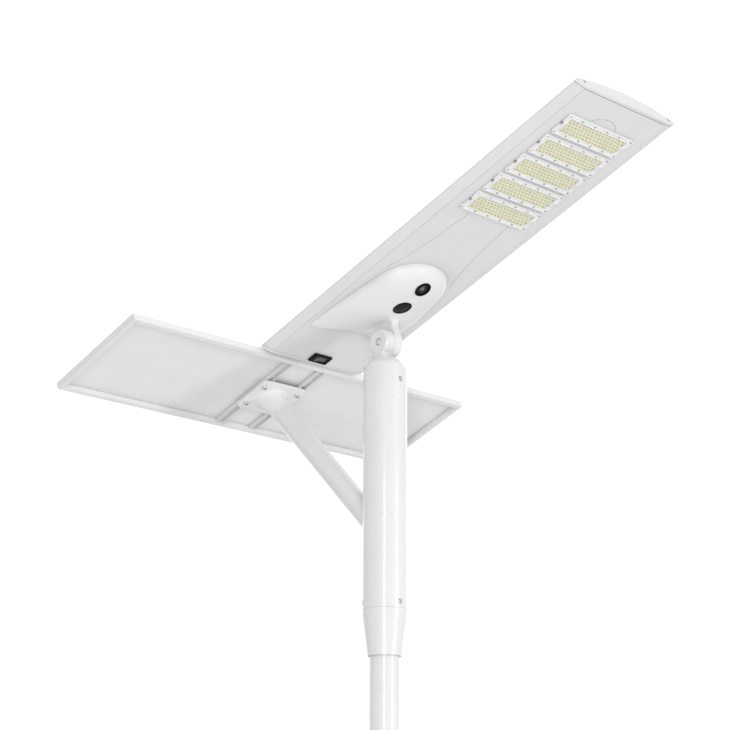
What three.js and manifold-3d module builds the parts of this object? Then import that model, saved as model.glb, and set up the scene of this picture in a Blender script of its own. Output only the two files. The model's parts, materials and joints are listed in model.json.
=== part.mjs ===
// Solar street lamp head on the top of its pole.
// Units are millimetres. +Z is up along the pole, the lantern points to -Y, the solar panel lies to +Y.
// The origin is on the pole's axis, at the lower end of the pole-top section.

import * as THREE from 'three';
import { mergeVertices } from 'three/addons/utils/BufferGeometryUtils.js';
import Module from 'manifold-3d';

const wasm = await Module();
wasm.setup();

// ---------------------------------------------------------------- driving dimensions

const GAP = 0.3;                       // between pieces that touch

// pole and sleeve
const POLE_R = 38.05;
const POLE_WALL = 3.6;
const POLE_TOP_Z = 955;
const COLLAR_Z = 220;                  // lower rim of the tapered collar
const COLLAR_R = 43.2;
const TAPER_TOP_Z = 324;
const SEAM_Z = 337;                    // collar and sleeve tube meet here
const SLEEVE_R = 57;
const SLEEVE_WALL = 4;
const DOME_Z = 962;                    // head casting meets the sleeve tube here
const DOME_HEIGHT = 38;
const SET_SCREW_Z = [353.5, 931.5];
const SET_SCREW_R = 6;
const SET_SCREW_ANGLES = [-90, 30, 150];

// tilt hinge
const HINGE_Z = 1038;
const TILT = THREE.MathUtils.degToRad(20.5);
const LUG_R = 35;
const LUG_X = [-28, 5.5];
const EAR_X = [5.8, 32.1];
const EAR_R = 35.5;
const BOLT_R = 6;
const BOLT_HEAD_R = 9.2;

// lantern, in a frame at the hinge: -Y to the tip, +Z normal to the underside
const UNDERSIDE_Z = 100.6;
const TIP_Y = -919.7;
const REAR_Y = 262.3;
const CAP_THICKNESS = 10.4;
const HALF_WIDTH = 184;
const UNDERSIDE_HALF = 152.5;
const EDGE_RISE = 9.6;
const EDGE_TOP = 17;
const CROWN = 37.5;
const SHELL = 2.5;
const BASE_PLATE = 3;
const SCREW_PORT = { x: 158, z: 12, r: 5 };

// LED modules
const MODULE_COUNT = 5;
const MODULE_SIZE = [236, 68.2];
const MODULE_WINDOW = [208, 46];
const MODULE_PITCH = 79.6;
const MODULE_FIRST_Y = -478.7;
const MODULE_DEPTH = 6.8;

// teardrop boss under the lantern
const BOSS_NOSE_Y = -224.7;
const BOSS_NOSE_CENTRE_Y = -122.7;
const BOSS_NOSE_HALF = 112;
const BOSS_TAIL_Y = 112;
const BOSS_TAIL_HALF = 138;
const BOSS_NOTCH_Y = 70.3;
const BOSS_DEPTH = 44.3;
const BOSS_LEVEL_Y = -54;
const BOSS_TAIL_SLOPE = 0.245;
const BOSS_WALL = 4;
const CAMERA = { y: -169.6, z: 60.6, r: 22.6, tilt: THREE.MathUtils.degToRad(13.3) };
const SENSOR = { y: -87.8, z: 56.5, r: 25.5 };

// power switch
const SWITCH_Y = 232.5;
const SWITCH_SIZE = [62, 33];
const SWITCH_PROUD = 5.6;
const ROCKER_HALF = 20.5;
const ROCKER_TILT = THREE.MathUtils.degToRad(8);

// contents of the lantern
const BATTERY_Y = [-740, -160];
const BATTERY_HALF = [75, 11.5];
const CONTROLLER_Y = [30, 170];

// solar panel, in a frame at the centre of its underside
const PANEL_POS = [0, 449.7, 975.3];
const PANEL_HALF = [601.6, 171.4];
const FRAME_DEPTH = 19.5;
const FRAME_WIDTH = 14;
const RAIL_X = 60;
const RAIL_HALF = 13;
const RAIL_Z = [4.5, 14];
const PLATE_HALF = [77, 68];
const PLATE_Z = [-1.8, 4.2];
const PLATE_BOLT = [60, 41];

// arm from the sleeve to the panel
const ARM_AXIS_Z = 523.3;              // height where the arm's axis crosses the pole's axis
const ARM_R = 30;
const ARM_WALL = 3;
const ARM_TUBE_END = 561;              // along the arm from the pole's axis
const NECK_END = 561.3;
const NECK_FLARE = 22;

// ---------------------------------------------------------------- materials

function finish(color, roughness, metalness, opacity = 1) {
  const transparent = opacity < 1;
  return new THREE.MeshStandardMaterial({ color, roughness, metalness, opacity, transparent });
}

const white = finish(0xf1f2f3, 0.35, 0.1);
const offWhite = finish(0xe6e8ea, 0.5, 0.1);
const steel = finish(0xb9bcc0, 0.3, 0.9);
const black = finish(0x0d0e10, 0.25, 0.0);
const darkGrey = finish(0x4a4c50, 0.4, 0.0);
const clear = finish(0xf2f4ff, 0.1, 0.0, 0.4);
const board = finish(0xf4f2e4, 0.6, 0.0);
const cellBlue = finish(0x141b33, 0.25, 0.1);
const glass = finish(0xdfe8f0, 0.05, 0.0, 0.35);
const wrapBlue = finish(0x2c5f9e, 0.5, 0.0);

// ---------------------------------------------------------------- solid helpers

function toSolid(geometry) {
  const bare = geometry.clone();
  bare.deleteAttribute('normal');
  bare.deleteAttribute('uv');
  const merged = mergeVertices(bare, 1e-3);
  const vertProperties = new Float32Array(merged.attributes.position.array);
  const triVerts = new Uint32Array(merged.index.array);
  return new wasm.Manifold(new wasm.Mesh({ numProp: 3, vertProperties, triVerts }));
}

function toGeometry(solid) {
  const mesh = solid.getMesh();
  const geometry = new THREE.BufferGeometry();
  geometry.setAttribute('position', new THREE.BufferAttribute(mesh.vertProperties, 3));
  geometry.setIndex(new THREE.BufferAttribute(mesh.triVerts, 1));
  geometry.computeVertexNormals();
  return geometry;
}

function cut(solid, ...tools) {
  return tools.reduce((rest, tool) => rest.subtract(tool), solid);
}

function join(...solids) {
  return solids.reduce((sum, solid) => sum.add(solid));
}

function box([x0, x1], [y0, y1], [z0, z1]) {
  const geometry = new THREE.BoxGeometry(x1 - x0, y1 - y0, z1 - z0);
  geometry.translate((x0 + x1) / 2, (y0 + y1) / 2, (z0 + z1) / 2);
  return toSolid(geometry);
}

function rod(from, to, radius, sides = 24) {
  const start = new THREE.Vector3(...from);
  const end = new THREE.Vector3(...to);
  const along = end.clone().sub(start);
  const geometry = new THREE.CylinderGeometry(radius, radius, along.length(), sides);
  const turn = new THREE.Quaternion().setFromUnitVectors(new THREE.Vector3(0, 1, 0), along.normalize());
  geometry.applyQuaternion(turn);
  const middle = start.add(end).multiplyScalar(0.5);
  geometry.translate(middle.x, middle.y, middle.z);
  return toSolid(geometry);
}

function rodX([x0, x1], [y, z], radius, sides = 24) {
  return rod([x0, y, z], [x1, y, z], radius, sides);
}

function rodZ([x, y], [z0, z1], radius, sides = 24) {
  return rod([x, y, z0], [x, y, z1], radius, sides);
}

function outline(points) {
  return new THREE.Shape(points.map(([u, v]) => new THREE.Vector2(u, v)));
}

function extrude(points, depth) {
  return new THREE.ExtrudeGeometry(outline(points), { depth, bevelEnabled: false, steps: 1 });
}

function extrudeX(points, [x0, x1]) {
  const geometry = extrude(points, x1 - x0);
  geometry.applyMatrix4(new THREE.Matrix4().set(0, 0, 1, x0, 1, 0, 0, 0, 0, 1, 0, 0, 0, 0, 0, 1));
  return toSolid(geometry);
}

function extrudeY(points, [y0, y1]) {
  const geometry = extrude(points, y1 - y0);
  geometry.rotateX(Math.PI / 2);
  geometry.translate(0, y1, 0);
  return toSolid(geometry);
}

function extrudeZ(points, [z0, z1]) {
  const geometry = extrude(points, z1 - z0);
  geometry.translate(0, 0, z0);
  return toSolid(geometry);
}

function turned(profile, sides = 36) {
  const geometry = new THREE.LatheGeometry(profile.map(([r, z]) => new THREE.Vector2(r, z)), sides);
  geometry.rotateX(Math.PI / 2);
  return toSolid(geometry);
}

function tubeProfile(inner, outer, z0, z1) {
  return [[inner, z0], [outer, z0], [outer, z1], [inner, z1], [inner, z0]];
}

// closed skin through rings of points, with a fan over each end
function loft(rings) {
  const positions = [];
  const indices = [];
  const count = rings[0].length;
  for (const ring of rings) {
    for (const point of ring) {
      positions.push(...point);
    }
  }
  const last = rings.length - 1;
  for (let i = 0; i < last; i += 1) {
    for (let j = 0; j < count; j += 1) {
      const next = (j + 1) % count;
      const a = i * count + j;
      const b = i * count + next;
      const c = a + count;
      const d = b + count;
      indices.push(a, b, d, a, d, c);
    }
  }
  for (let j = 1; j < count - 1; j += 1) {
    indices.push(0, j + 1, j);
    indices.push(last * count, last * count + j, last * count + j + 1);
  }
  const geometry = new THREE.BufferGeometry();
  geometry.setAttribute('position', new THREE.BufferAttribute(new Float32Array(positions), 3));
  geometry.setIndex(indices);
  return toSolid(geometry);
}

function roundedRectangle(halfX, halfY, radius, steps = 4) {
  const points = [];
  const corners = [[1, 1, 0], [-1, 1, 90], [-1, -1, 180], [1, -1, 270]];
  for (const [sx, sy, start] of corners) {
    for (let i = 0; i <= steps; i += 1) {
      const angle = THREE.MathUtils.degToRad(start + 90 * i / steps);
      const x = sx * (halfX - radius) + radius * Math.cos(angle);
      const y = sy * (halfY - radius) + radius * Math.sin(angle);
      points.push([x, y]);
    }
  }
  return points;
}

function circlePoints(radius, sides, [u, v] = [0, 0], start = 0) {
  const points = [];
  for (let i = 0; i < sides; i += 1) {
    const angle = start + 2 * Math.PI * i / sides;
    points.push([u + radius * Math.cos(angle), v + radius * Math.sin(angle)]);
  }
  return points;
}

function part(group, name, solid, material) {
  const mesh = new THREE.Mesh(toGeometry(solid), material);
  mesh.name = name;
  group.add(mesh);
  return mesh;
}

// ---------------------------------------------------------------- pole and sleeve

function poleSection() {
  return turned(tubeProfile(POLE_R - POLE_WALL, POLE_R, 0, POLE_TOP_Z), 32);
}

function taperCollar() {
  const inner = COLLAR_R - SLEEVE_WALL;
  const innerTop = SLEEVE_R - SLEEVE_WALL;
  return turned([
    [inner, COLLAR_Z], [COLLAR_R, COLLAR_Z], [SLEEVE_R, TAPER_TOP_Z], [SLEEVE_R, SEAM_Z],
    [innerTop, SEAM_Z], [innerTop, TAPER_TOP_Z + 2], [inner, COLLAR_Z + 2], [inner, COLLAR_Z],
  ]);
}

function radial(angleDegrees, radius, z) {
  const angle = THREE.MathUtils.degToRad(angleDegrees);
  return [radius * Math.cos(angle), radius * Math.sin(angle), z];
}

function sleeveTube() {
  const tube = turned(tubeProfile(SLEEVE_R - SLEEVE_WALL, SLEEVE_R, SEAM_Z + GAP, DOME_Z));
  const holes = [];
  for (const z of SET_SCREW_Z) {
    for (const angle of SET_SCREW_ANGLES) {
      holes.push(rod(radial(angle, 45, z), radial(angle, 70, z), SET_SCREW_R + GAP, 12));
    }
  }
  const cableHole = rod([0, 40, ARM_AXIS_Z + 40], [0, 70, ARM_AXIS_Z + 70], 12, 12);
  return cut(tube, ...holes, cableHole);
}

function setScrew(angle, z) {
  const tip = POLE_R + 0.5;
  const shank = rod(radial(angle, tip, z), radial(angle, SLEEVE_R + 1, z), SET_SCREW_R, 12);
  const socket = rod(radial(angle, SLEEVE_R - 4, z), radial(angle, SLEEVE_R + 3, z), 3.5, 6);
  return cut(shank, socket);
}

function domeProfile(radius, height, base, steps) {
  const points = [];
  for (let i = 0; i <= steps; i += 1) {
    const angle = (Math.PI / 2) * (i / steps);
    points.push([radius * Math.cos(angle), base + height * Math.sin(angle)]);
  }
  points[steps][0] = 0;
  return points;
}

function sleeveHead() {
  const base = DOME_Z + GAP;
  const outer = domeProfile(SLEEVE_R, DOME_HEIGHT - GAP, base, 7);
  const inner = domeProfile(SLEEVE_R - SLEEVE_WALL, DOME_HEIGHT - 5, base, 4).reverse();
  const dome = turned([...inner, ...outer], 36);
  const neck = box(LUG_X, [-18, 18], [992, 1015]);
  const lug = rodX(LUG_X, [0, HINGE_Z], LUG_R, 40);
  const bore = rodX([-40, 20], [0, HINGE_Z], BOLT_R + 0.4, 20);
  const counterbore = rodX([-40, LUG_X[0] + 8.4], [0, HINGE_Z], BOLT_HEAD_R + 0.4, 24);
  return cut(join(dome, neck, lug), bore, counterbore);
}

function hingeBolt() {
  const headEnd = LUG_X[0] + 8;
  const head = rodX([LUG_X[0] + 0.5, headEnd], [0, HINGE_Z], BOLT_HEAD_R, 24);
  const shank = rodX([headEnd - 1, EAR_X[1] + 15], [0, HINGE_Z], BOLT_R, 20);
  const socket = rodX([LUG_X[0] - 2, LUG_X[0] + 5], [0, HINGE_Z], 4.6, 6);
  return cut(join(head, shank), socket);
}

function hingeRing(x, radius, sides) {
  const bore = rodX([x[0] - 1, x[1] + 1], [0, HINGE_Z], BOLT_R + 0.4, 20);
  return cut(rodX(x, [0, HINGE_Z], radius, sides), bore);
}

// ---------------------------------------------------------------- arm and panel mount

function armPoint(distance) {
  const step = distance * Math.SQRT1_2;
  return [0, step, ARM_AXIS_Z + step];
}

function panelArm() {
  const tube = rod(armPoint(30), armPoint(ARM_TUBE_END), ARM_R, 32);
  const bore = rod(armPoint(20), armPoint(ARM_TUBE_END + 10), ARM_R - ARM_WALL, 32);
  const sleeve = rodZ([0, 0], [400, 700], SLEEVE_R + GAP, 64);
  return cut(tube, bore, sleeve);
}

// a point given in world axes, in the panel's own frame
function inPanelFrame([x, y, z]) {
  const dy = y - PANEL_POS[1];
  const dz = z - PANEL_POS[2];
  const cos = Math.cos(TILT);
  const sin = Math.sin(TILT);
  return [x, dy * cos - dz * sin, dy * sin + dz * cos];
}

function neckRings(inset, lower, upper, steps, sides) {
  const foot = new THREE.Vector3(...inPanelFrame(armPoint(NECK_END - lower)));
  const top = new THREE.Vector3(foot.x, 0.8, PLATE_Z[0] + upper);
  const axis = top.clone().sub(foot);
  const length = axis.length();
  axis.normalize();
  const rings = [];
  for (let i = 0; i <= steps; i += 1) {
    const t = i / steps;
    const normal = axis.clone().lerp(new THREE.Vector3(0, 0, 1), t * t).normalize();
    const side = new THREE.Vector3(1, 0, 0);
    const across = normal.clone().cross(side);
    const centre = foot.clone().addScaledVector(axis, length * t);
    const radius = ARM_R - inset + NECK_FLARE * t ** 3;
    const ring = [];
    for (const [u, v] of circlePoints(radius, sides)) {
      ring.push(centre.clone().addScaledVector(side, u).addScaledVector(across, v).toArray());
    }
    rings.push(ring);
  }
  return rings;
}

function mountPlate() {
  const plate = extrudeZ(roundedRectangle(...PLATE_HALF, 16), PLATE_Z);
  const neck = loft(neckRings(0, 0, 1, 7, 28));
  const bore = loft(neckRings(ARM_WALL + 1, 3, 8, 4, 16));
  const holes = [];
  for (const x of [-PLATE_BOLT[0], PLATE_BOLT[0]]) {
    for (const y of [-PLATE_BOLT[1], PLATE_BOLT[1]]) {
      holes.push(rodZ([x, y], [-20, 20], 4.6, 12));
    }
  }
  return cut(join(plate, neck), bore, ...holes);
}

function railBolt(x, y) {
  const headTop = PLATE_Z[0] - GAP;
  const head = rodZ([x, y], [headTop - 5.2, headTop], 7.8, 16);
  const shank = rodZ([x, y], [headTop - 1, 9], 4.2, 12);
  const socket = rodZ([x, y], [headTop - 6, headTop - 2], 4, 6);
  const channelNut = box([x - 10.6, x + 10.6], [y - 10, y + 10], [6.7, 11.8]);
  return cut(join(head, shank, channelNut), socket);
}

function rail() {
  const [low, high] = RAIL_Z;
  const wall = 1.8;
  const lip = 4;
  const w = RAIL_HALF;
  const end = PANEL_HALF[1] - FRAME_WIDTH - GAP;
  return extrudeY([
    [-w, low], [-w + lip, low], [-w + lip, low + wall], [-w + wall, low + wall], [-w + wall, high - wall],
    [w - wall, high - wall], [w - wall, low + wall], [w - lip, low + wall], [w - lip, low], [w, low],
    [w, high], [-w, high],
  ], [-end, end]);
}

// ---------------------------------------------------------------- solar panel

// hollow-edge frame section: u runs inward from the outer face, h up from the underside
const FRAME_SECTION = [
  [0, 0], [FRAME_WIDTH, 0], [FRAME_WIDTH, 14], [3, 14],
  [3, 18.6], [10, 18.6], [10, FRAME_DEPTH], [0, FRAME_DEPTH],
];

// straight bar with mitred ends: the section sits on the -Y side of the panel
function frameBar(half, offset) {
  const mitre = GAP / 2;
  const section = (side) => FRAME_SECTION.map(([u, h]) => [side * (half - u - mitre), u - offset, h]);
  const ends = [section(-1), section(1)];
  const caps = THREE.ShapeUtils.triangulateShape(FRAME_SECTION.map(([u, h]) => new THREE.Vector2(u, h)), []);
  const count = FRAME_SECTION.length;
  const indices = [];
  for (let i = 0; i < count; i += 1) {
    const next = (i + 1) % count;
    indices.push(i, next, next + count, i, next + count, i + count);
  }
  for (const [a, b, c] of caps) {
    indices.push(a, c, b);
    indices.push(a + count, b + count, c + count);
  }
  const geometry = new THREE.BufferGeometry();
  geometry.setAttribute('position', new THREE.BufferAttribute(new Float32Array(ends.flat(2)), 3));
  geometry.setIndex(indices);
  return geometry;
}

function sheet([z0, z1]) {
  const [halfX, halfY] = PANEL_HALF.map((half) => half - 3.4);
  return box([-halfX, halfX], [-halfY, halfY], [z0, z1]);
}

function junctionBox() {
  const shell = extrudeZ(roundedRectangle(42, 45, 6, 2), [PLATE_Z[1] + GAP, RAIL_Z[1] - GAP]);
  const cavity = box([-38, 38], [-41, 41], [0, 11]);
  const floor = extrudeZ(roundedRectangle(42, 45, 6, 2), [PLATE_Z[1] + GAP, PLATE_Z[1] + 2]);
  return join(cut(shell, cavity), cut(floor, rodZ([0, 0], [0, 10], 9, 16)));
}

// ---------------------------------------------------------------- lantern shell

function crownHeight(x, drop = 0) {
  return CROWN - drop - (CROWN - EDGE_TOP) * (x / (HALF_WIDTH - 2.5)) ** 2;
}

function crownPoints(half, steps, drop = 0) {
  const points = [];
  for (let i = 0; i <= steps; i += 1) {
    const x = half * (1 - 2 * i / steps);
    points.push([x, crownHeight(x, drop)]);
  }
  return points;
}

function raise(points) {
  return points.map(([x, z]) => [x, z + UNDERSIDE_Z]);
}

function shellOutline() {
  return [
    [UNDERSIDE_HALF, 0], [HALF_WIDTH, EDGE_RISE], [HALF_WIDTH, 13.5],
    ...crownPoints(HALF_WIDTH - 2.5, 16),
    [-HALF_WIDTH, 13.5], [-HALF_WIDTH, EDGE_RISE], [-UNDERSIDE_HALF, 0],
  ];
}

function topHousing() {
  const shelf = BASE_PLATE + GAP;
  const cavity = [
    [-UNDERSIDE_HALF, shelf], [-138, shelf], [-138, shelf + SHELL], [-163, shelf + SHELL],
    [-180.5, 11.2], [-180.5, 13.5], ...crownPoints(178, 12, SHELL).reverse(), [180.5, 13.5], [180.5, 11.2],
    [163, shelf + SHELL], [138, shelf + SHELL], [138, shelf], [UNDERSIDE_HALF, shelf],
  ];
  const span = [TIP_Y + CAP_THICKNESS + GAP, REAR_Y - CAP_THICKNESS - GAP];
  const profile = raise([...shellOutline(), ...cavity]);
  let housing = extrudeY(profile, span);
  for (const side of [-1, 1]) {
    const x = side * SCREW_PORT.x;
    const port = extrudeY(circlePoints(SCREW_PORT.r, 10, [x, UNDERSIDE_Z + SCREW_PORT.z]), span);
    const web = box([x - 1.2, x + 1.2], span, [UNDERSIDE_Z + 3.2, UNDERSIDE_Z + SCREW_PORT.z]);
    const hole = extrudeY(circlePoints(2.4, 8, [x, UNDERSIDE_Z + SCREW_PORT.z]), [span[0] - 1, span[1] + 1]);
    housing = cut(join(housing, port, web), hole);
  }
  return housing;
}

function endCap([y0, y1], outerFace) {
  const blank = extrudeY(raise(shellOutline()), [y0, y1]);
  const holes = [];
  const inward = outerFace === y0 ? 1 : -1;
  for (const x of [-SCREW_PORT.x, SCREW_PORT.x]) {
    const z = UNDERSIDE_Z + SCREW_PORT.z;
    holes.push(rod([x, y0 - 1, z], [x, y1 + 1, z], 2.6, 8));
    holes.push(rod([x, outerFace - inward, z], [x, outerFace + inward * 4.2, z], 4.8, 14));
  }
  return cut(blank, ...holes);
}

function capScrew(x, outerFace, inward) {
  const z = UNDERSIDE_Z + SCREW_PORT.z;
  const head = rod([x, outerFace + inward * 0.6, z], [x, outerFace + inward * 3.9, z], 4.4, 14);
  const shank = rod([x, outerFace + inward * 3, z], [x, outerFace + inward * 30, z], 2, 8);
  const socket = rod([x, outerFace - inward, z], [x, outerFace + inward * 2.4, z], 2, 6);
  return cut(join(head, shank), socket);
}

function basePlate() {
  const plate = box(
    [-UNDERSIDE_HALF + GAP, UNDERSIDE_HALF - GAP],
    [TIP_Y + CAP_THICKNESS + 2 * GAP, REAR_Y - CAP_THICKNESS - 2 * GAP],
    [UNDERSIDE_Z, UNDERSIDE_Z + BASE_PLATE],
  );
  const holes = [
    box([-23.5, 23.5], [SWITCH_Y - 11.5, SWITCH_Y + 11.5], [UNDERSIDE_Z - 5, UNDERSIDE_Z + 9]),
    rodZ([0, SENSOR.y + 40], [UNDERSIDE_Z - 5, UNDERSIDE_Z + 9], 14, 16),
  ];
  for (let k = 0; k < MODULE_COUNT; k += 1) {
    holes.push(rodZ([0, moduleY(k)], [UNDERSIDE_Z - 5, UNDERSIDE_Z + 9], 5, 8));
  }
  return cut(plate, ...holes);
}

// ---------------------------------------------------------------- LED modules

function moduleY(k) {
  return MODULE_FIRST_Y - k * MODULE_PITCH;
}

function moduleFrame(k) {
  const [length, width] = MODULE_SIZE;
  const [openLength, openWidth] = MODULE_WINDOW;
  const bottom = UNDERSIDE_Z - MODULE_DEPTH;
  const y = moduleY(k);
  const blank = extrudeZ(roundedRectangle(length / 2, width / 2, 5, 2), [bottom, UNDERSIDE_Z - GAP]);
  const window = box([-openLength / 2, openLength / 2], [-openWidth / 2, openWidth / 2], [0, 200]);
  const notches = [-1, 1].map((side) => {
    const edge = side * length / 2;
    return box([edge - 4, edge + 4], [-7, 7], [0, 200]);
  });
  return cut(blank, window, ...notches).translate([0, y, 0]);
}

function modulePlate(k, [z0, z1], inset) {
  const halfX = MODULE_WINDOW[0] / 2 - inset;
  const halfY = MODULE_WINDOW[1] / 2 - inset;
  const y = moduleY(k);
  return box([-halfX, halfX], [y - halfY, y + halfY], [UNDERSIDE_Z + z0, UNDERSIDE_Z + z1]);
}

// ---------------------------------------------------------------- teardrop boss and ear

// half width of the boss at distance y, for a skin set in by inset
function bossHalfWidth(y, inset) {
  const noseLength = BOSS_NOSE_CENTRE_Y - BOSS_NOSE_Y;
  if (y < BOSS_NOSE_CENTRE_Y) {
    const reach = Math.min(1, (BOSS_NOSE_CENTRE_Y - y) / (noseLength - inset));
    return (BOSS_NOSE_HALF - inset) * Math.sqrt(1 - reach ** 2);
  }
  const t = (y - BOSS_NOSE_CENTRE_Y) / (BOSS_TAIL_Y - BOSS_NOSE_CENTRE_Y);
  return THREE.MathUtils.lerp(BOSS_NOSE_HALF, BOSS_TAIL_HALF, Math.sin(t * Math.PI / 2)) - inset;
}

// depth of the boss below the underside along its centre line: domed nose, level middle, sloping tail
function bossCentreDepth(y, inset) {
  if (y < BOSS_LEVEL_Y) {
    const reach = Math.min(1, (BOSS_LEVEL_Y - y) / (BOSS_LEVEL_Y - BOSS_NOSE_Y - inset));
    return (BOSS_DEPTH - inset) * Math.sqrt(1 - reach ** 4);
  }
  const run = y - BOSS_LEVEL_Y;
  const bend = 50;
  const fall = run < bend ? run ** 2 / (2 * bend) : run - bend / 2;
  return BOSS_DEPTH - inset - BOSS_TAIL_SLOPE * fall;
}

function bossRings(inset, top, stations, across) {
  const rings = [];
  const nose = BOSS_NOSE_Y + inset;
  const tail = BOSS_TAIL_Y + 6;
  for (let i = 0; i <= stations; i += 1) {
    const t = 1 - Math.cos((i / stations) * Math.PI / 2);
    const y = THREE.MathUtils.lerp(nose + 0.6, tail, t);
    const half = bossHalfWidth(y, inset);
    const depth = bossCentreDepth(y, inset);
    const ring = [];
    for (let j = 0; j <= across; j += 1) {
      const angle = Math.PI * j / across;
      const x = half * Math.cos(angle);
      ring.push([x, y, UNDERSIDE_Z - GAP - depth * Math.sqrt(1 - Math.abs(Math.cos(angle)) ** 2.6)]);
    }
    ring.push([-half, y, UNDERSIDE_Z + top], [half, y, UNDERSIDE_Z + top]);
    rings.push(ring);
  }
  return rings;
}

function bossTailCutter() {
  const points = [[220, BOSS_TAIL_Y + 80], [-220, BOSS_TAIL_Y + 80], [-220, BOSS_TAIL_Y - 20]];
  const steps = 16;
  for (let i = 0; i <= steps; i += 1) {
    const x = BOSS_TAIL_HALF * (2 * i / steps - 1);
    const bow = Math.cos((x / BOSS_TAIL_HALF) * Math.PI);
    points.push([x, BOSS_NOTCH_Y + (BOSS_TAIL_Y - BOSS_NOTCH_Y) * (1 - bow) / 2]);
  }
  points.push([220, BOSS_TAIL_Y - 20]);
  return extrudeZ(points.reverse(), [0, UNDERSIDE_Z + 20]);
}

// side view of the ear with the pole upright: round about the hinge, widening along the boss's tail
function earOutline() {
  const arc = [];
  const steps = 14;
  for (let i = 0; i <= steps; i += 1) {
    const angle = THREE.MathUtils.degToRad(195 + 155 * i / steps);
    arc.push([EAR_R * Math.cos(angle), EAR_R * Math.sin(angle)]);
  }
  return [
    [-28, 80], [-21, 70], [-18.9, 62], [-18.9, 54], [-21, 45], [-26, 33], [-31, 20], [-34.3, 6],
    ...arc,
    [35, 4], [37, 16], [45, 30], [60, 42], [90, 53], [80, 72], [0, 84],
  ];
}

function hingeBoss() {
  const skin = loft(bossRings(0, -GAP, 18, 18));
  const hollow = loft(bossRings(BOSS_WALL, 5, 9, 10));
  const inside = hollow.subtract(box([-200, 200], [BOSS_NOTCH_Y - 8, 300], [0, 200]));
  const ear = extrudeX(earOutline(), EAR_X).rotate([THREE.MathUtils.radToDeg(TILT), 0, 0]);
  const bore = rodX([0, 40], [0, 0], BOLT_R + 0.5, 20);
  const cameraHole = cameraRod(-12, 40, CAMERA.r + GAP);
  const sensorHole = rodZ([0, SENSOR.y], [SENSOR.z - 20, SENSOR.z + 20], SENSOR.r + GAP, 32);
  const tail = bossTailCutter();
  const shell = cut(skin, inside, tail, cameraHole, sensorHole);
  return cut(join(shell, cut(ear, tail, box([-50, 50], [-300, 300], [UNDERSIDE_Z - 38, 200]))), bore);
}

// cylinder on the camera's axis, from start to end above the lens face
function cameraRod(start, end, radius, sides = 32) {
  const up = [0, Math.sin(CAMERA.tilt), Math.cos(CAMERA.tilt)];
  const at = (distance) => [0, CAMERA.y + up[1] * distance, CAMERA.z + up[2] * distance];
  return rod(at(start), at(end), radius, sides);
}

function cameraBody() {
  const barrel = join(cameraRod(-0.5, 8, CAMERA.r), cameraRod(7, 24, CAMERA.r - 4));
  return cut(barrel, cameraRod(-4, 2.2, CAMERA.r - 2.4), cameraRod(-4, 10, 9.6));
}

function cameraLens() {
  return join(cameraRod(1, 9.5, 9.2, 24), cameraRod(-0.2, 1.6, 6.8, 24));
}

function sensorWindow() {
  const disc = rodZ([0, SENSOR.y], [SENSOR.z - 0.8, SENSOR.z + 4], SENSOR.r, 32);
  return join(disc, rodZ([0, SENSOR.y], [SENSOR.z + 3, SENSOR.z + 18], SENSOR.r - 6, 24));
}

// ---------------------------------------------------------------- power switch and contents

function switchHousing() {
  const [length, width] = SWITCH_SIZE;
  const low = UNDERSIDE_Z - SWITCH_PROUD;
  const flange = extrudeZ(roundedRectangle(length / 2, width / 2, 1.2, 2), [low, UNDERSIDE_Z - GAP]);
  const body = box([-23, 23], [-11, 11], [UNDERSIDE_Z - 1, UNDERSIDE_Z + 24]);
  const pocket = box([-22, 22], [-9.3, 9.3], [low - 1, UNDERSIDE_Z + 8]);
  return cut(join(flange, body), pocket).translate([0, SWITCH_Y, 0]);
}

function switchRocker() {
  const face = UNDERSIDE_Z - SWITCH_PROUD;
  const pivot = UNDERSIDE_Z + 1;
  const profile = [
    [-ROCKER_HALF, face - 0.6], [0, face + 1.2], [ROCKER_HALF, face - 0.6],
    [ROCKER_HALF - 1, pivot + 2], [-ROCKER_HALF + 1, pivot + 2],
  ];
  const cos = Math.cos(ROCKER_TILT);
  const sin = Math.sin(ROCKER_TILT);
  const tilted = profile.map(([x, z]) => [x * cos - (z - pivot) * sin, pivot + x * sin + (z - pivot) * cos]);
  return extrudeY(tilted, [SWITCH_Y - 9, SWITCH_Y + 9]);
}

function batteryPack() {
  const middle = UNDERSIDE_Z + 17.8;
  const section = roundedRectangle(...BATTERY_HALF, 4, 2).map(([x, z]) => [x, z + middle]);
  return extrudeY(section, BATTERY_Y);
}

function chargeController() {
  const low = UNDERSIDE_Z + 6.3;
  const grooves = [-40, -20, 0, 20, 40].map((x) => box([x - 3, x + 3], [20, 180], [low + 14, low + 30]));
  return cut(box([-60, 60], CONTROLLER_Y, [low, low + 20]), ...grooves);
}

// ---------------------------------------------------------------- assembly

const lampHead = new THREE.Group();

part(lampHead, 'pole_top_section', poleSection(), white);
part(lampHead, 'taper_collar', taperCollar(), white);
part(lampHead, 'sleeve_tube', sleeveTube(), white);
part(lampHead, 'sleeve_head', sleeveHead(), white);
let screwNumber = 1;
for (const z of SET_SCREW_Z) {
  for (const angle of SET_SCREW_ANGLES) {
    part(lampHead, `set_screw_${screwNumber}`, setScrew(angle, z), steel);
    screwNumber += 1;
  }
}
part(lampHead, 'hinge_bolt', hingeBolt(), steel);
part(lampHead, 'hinge_washer', hingeRing([EAR_X[1] + GAP, EAR_X[1] + 2.5], 12.5, 24), steel);
part(lampHead, 'hinge_nut', hingeRing([EAR_X[1] + 2.8, EAR_X[1] + 12.8], 10.4, 6), steel);
part(lampHead, 'panel_arm', panelArm(), white);

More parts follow.
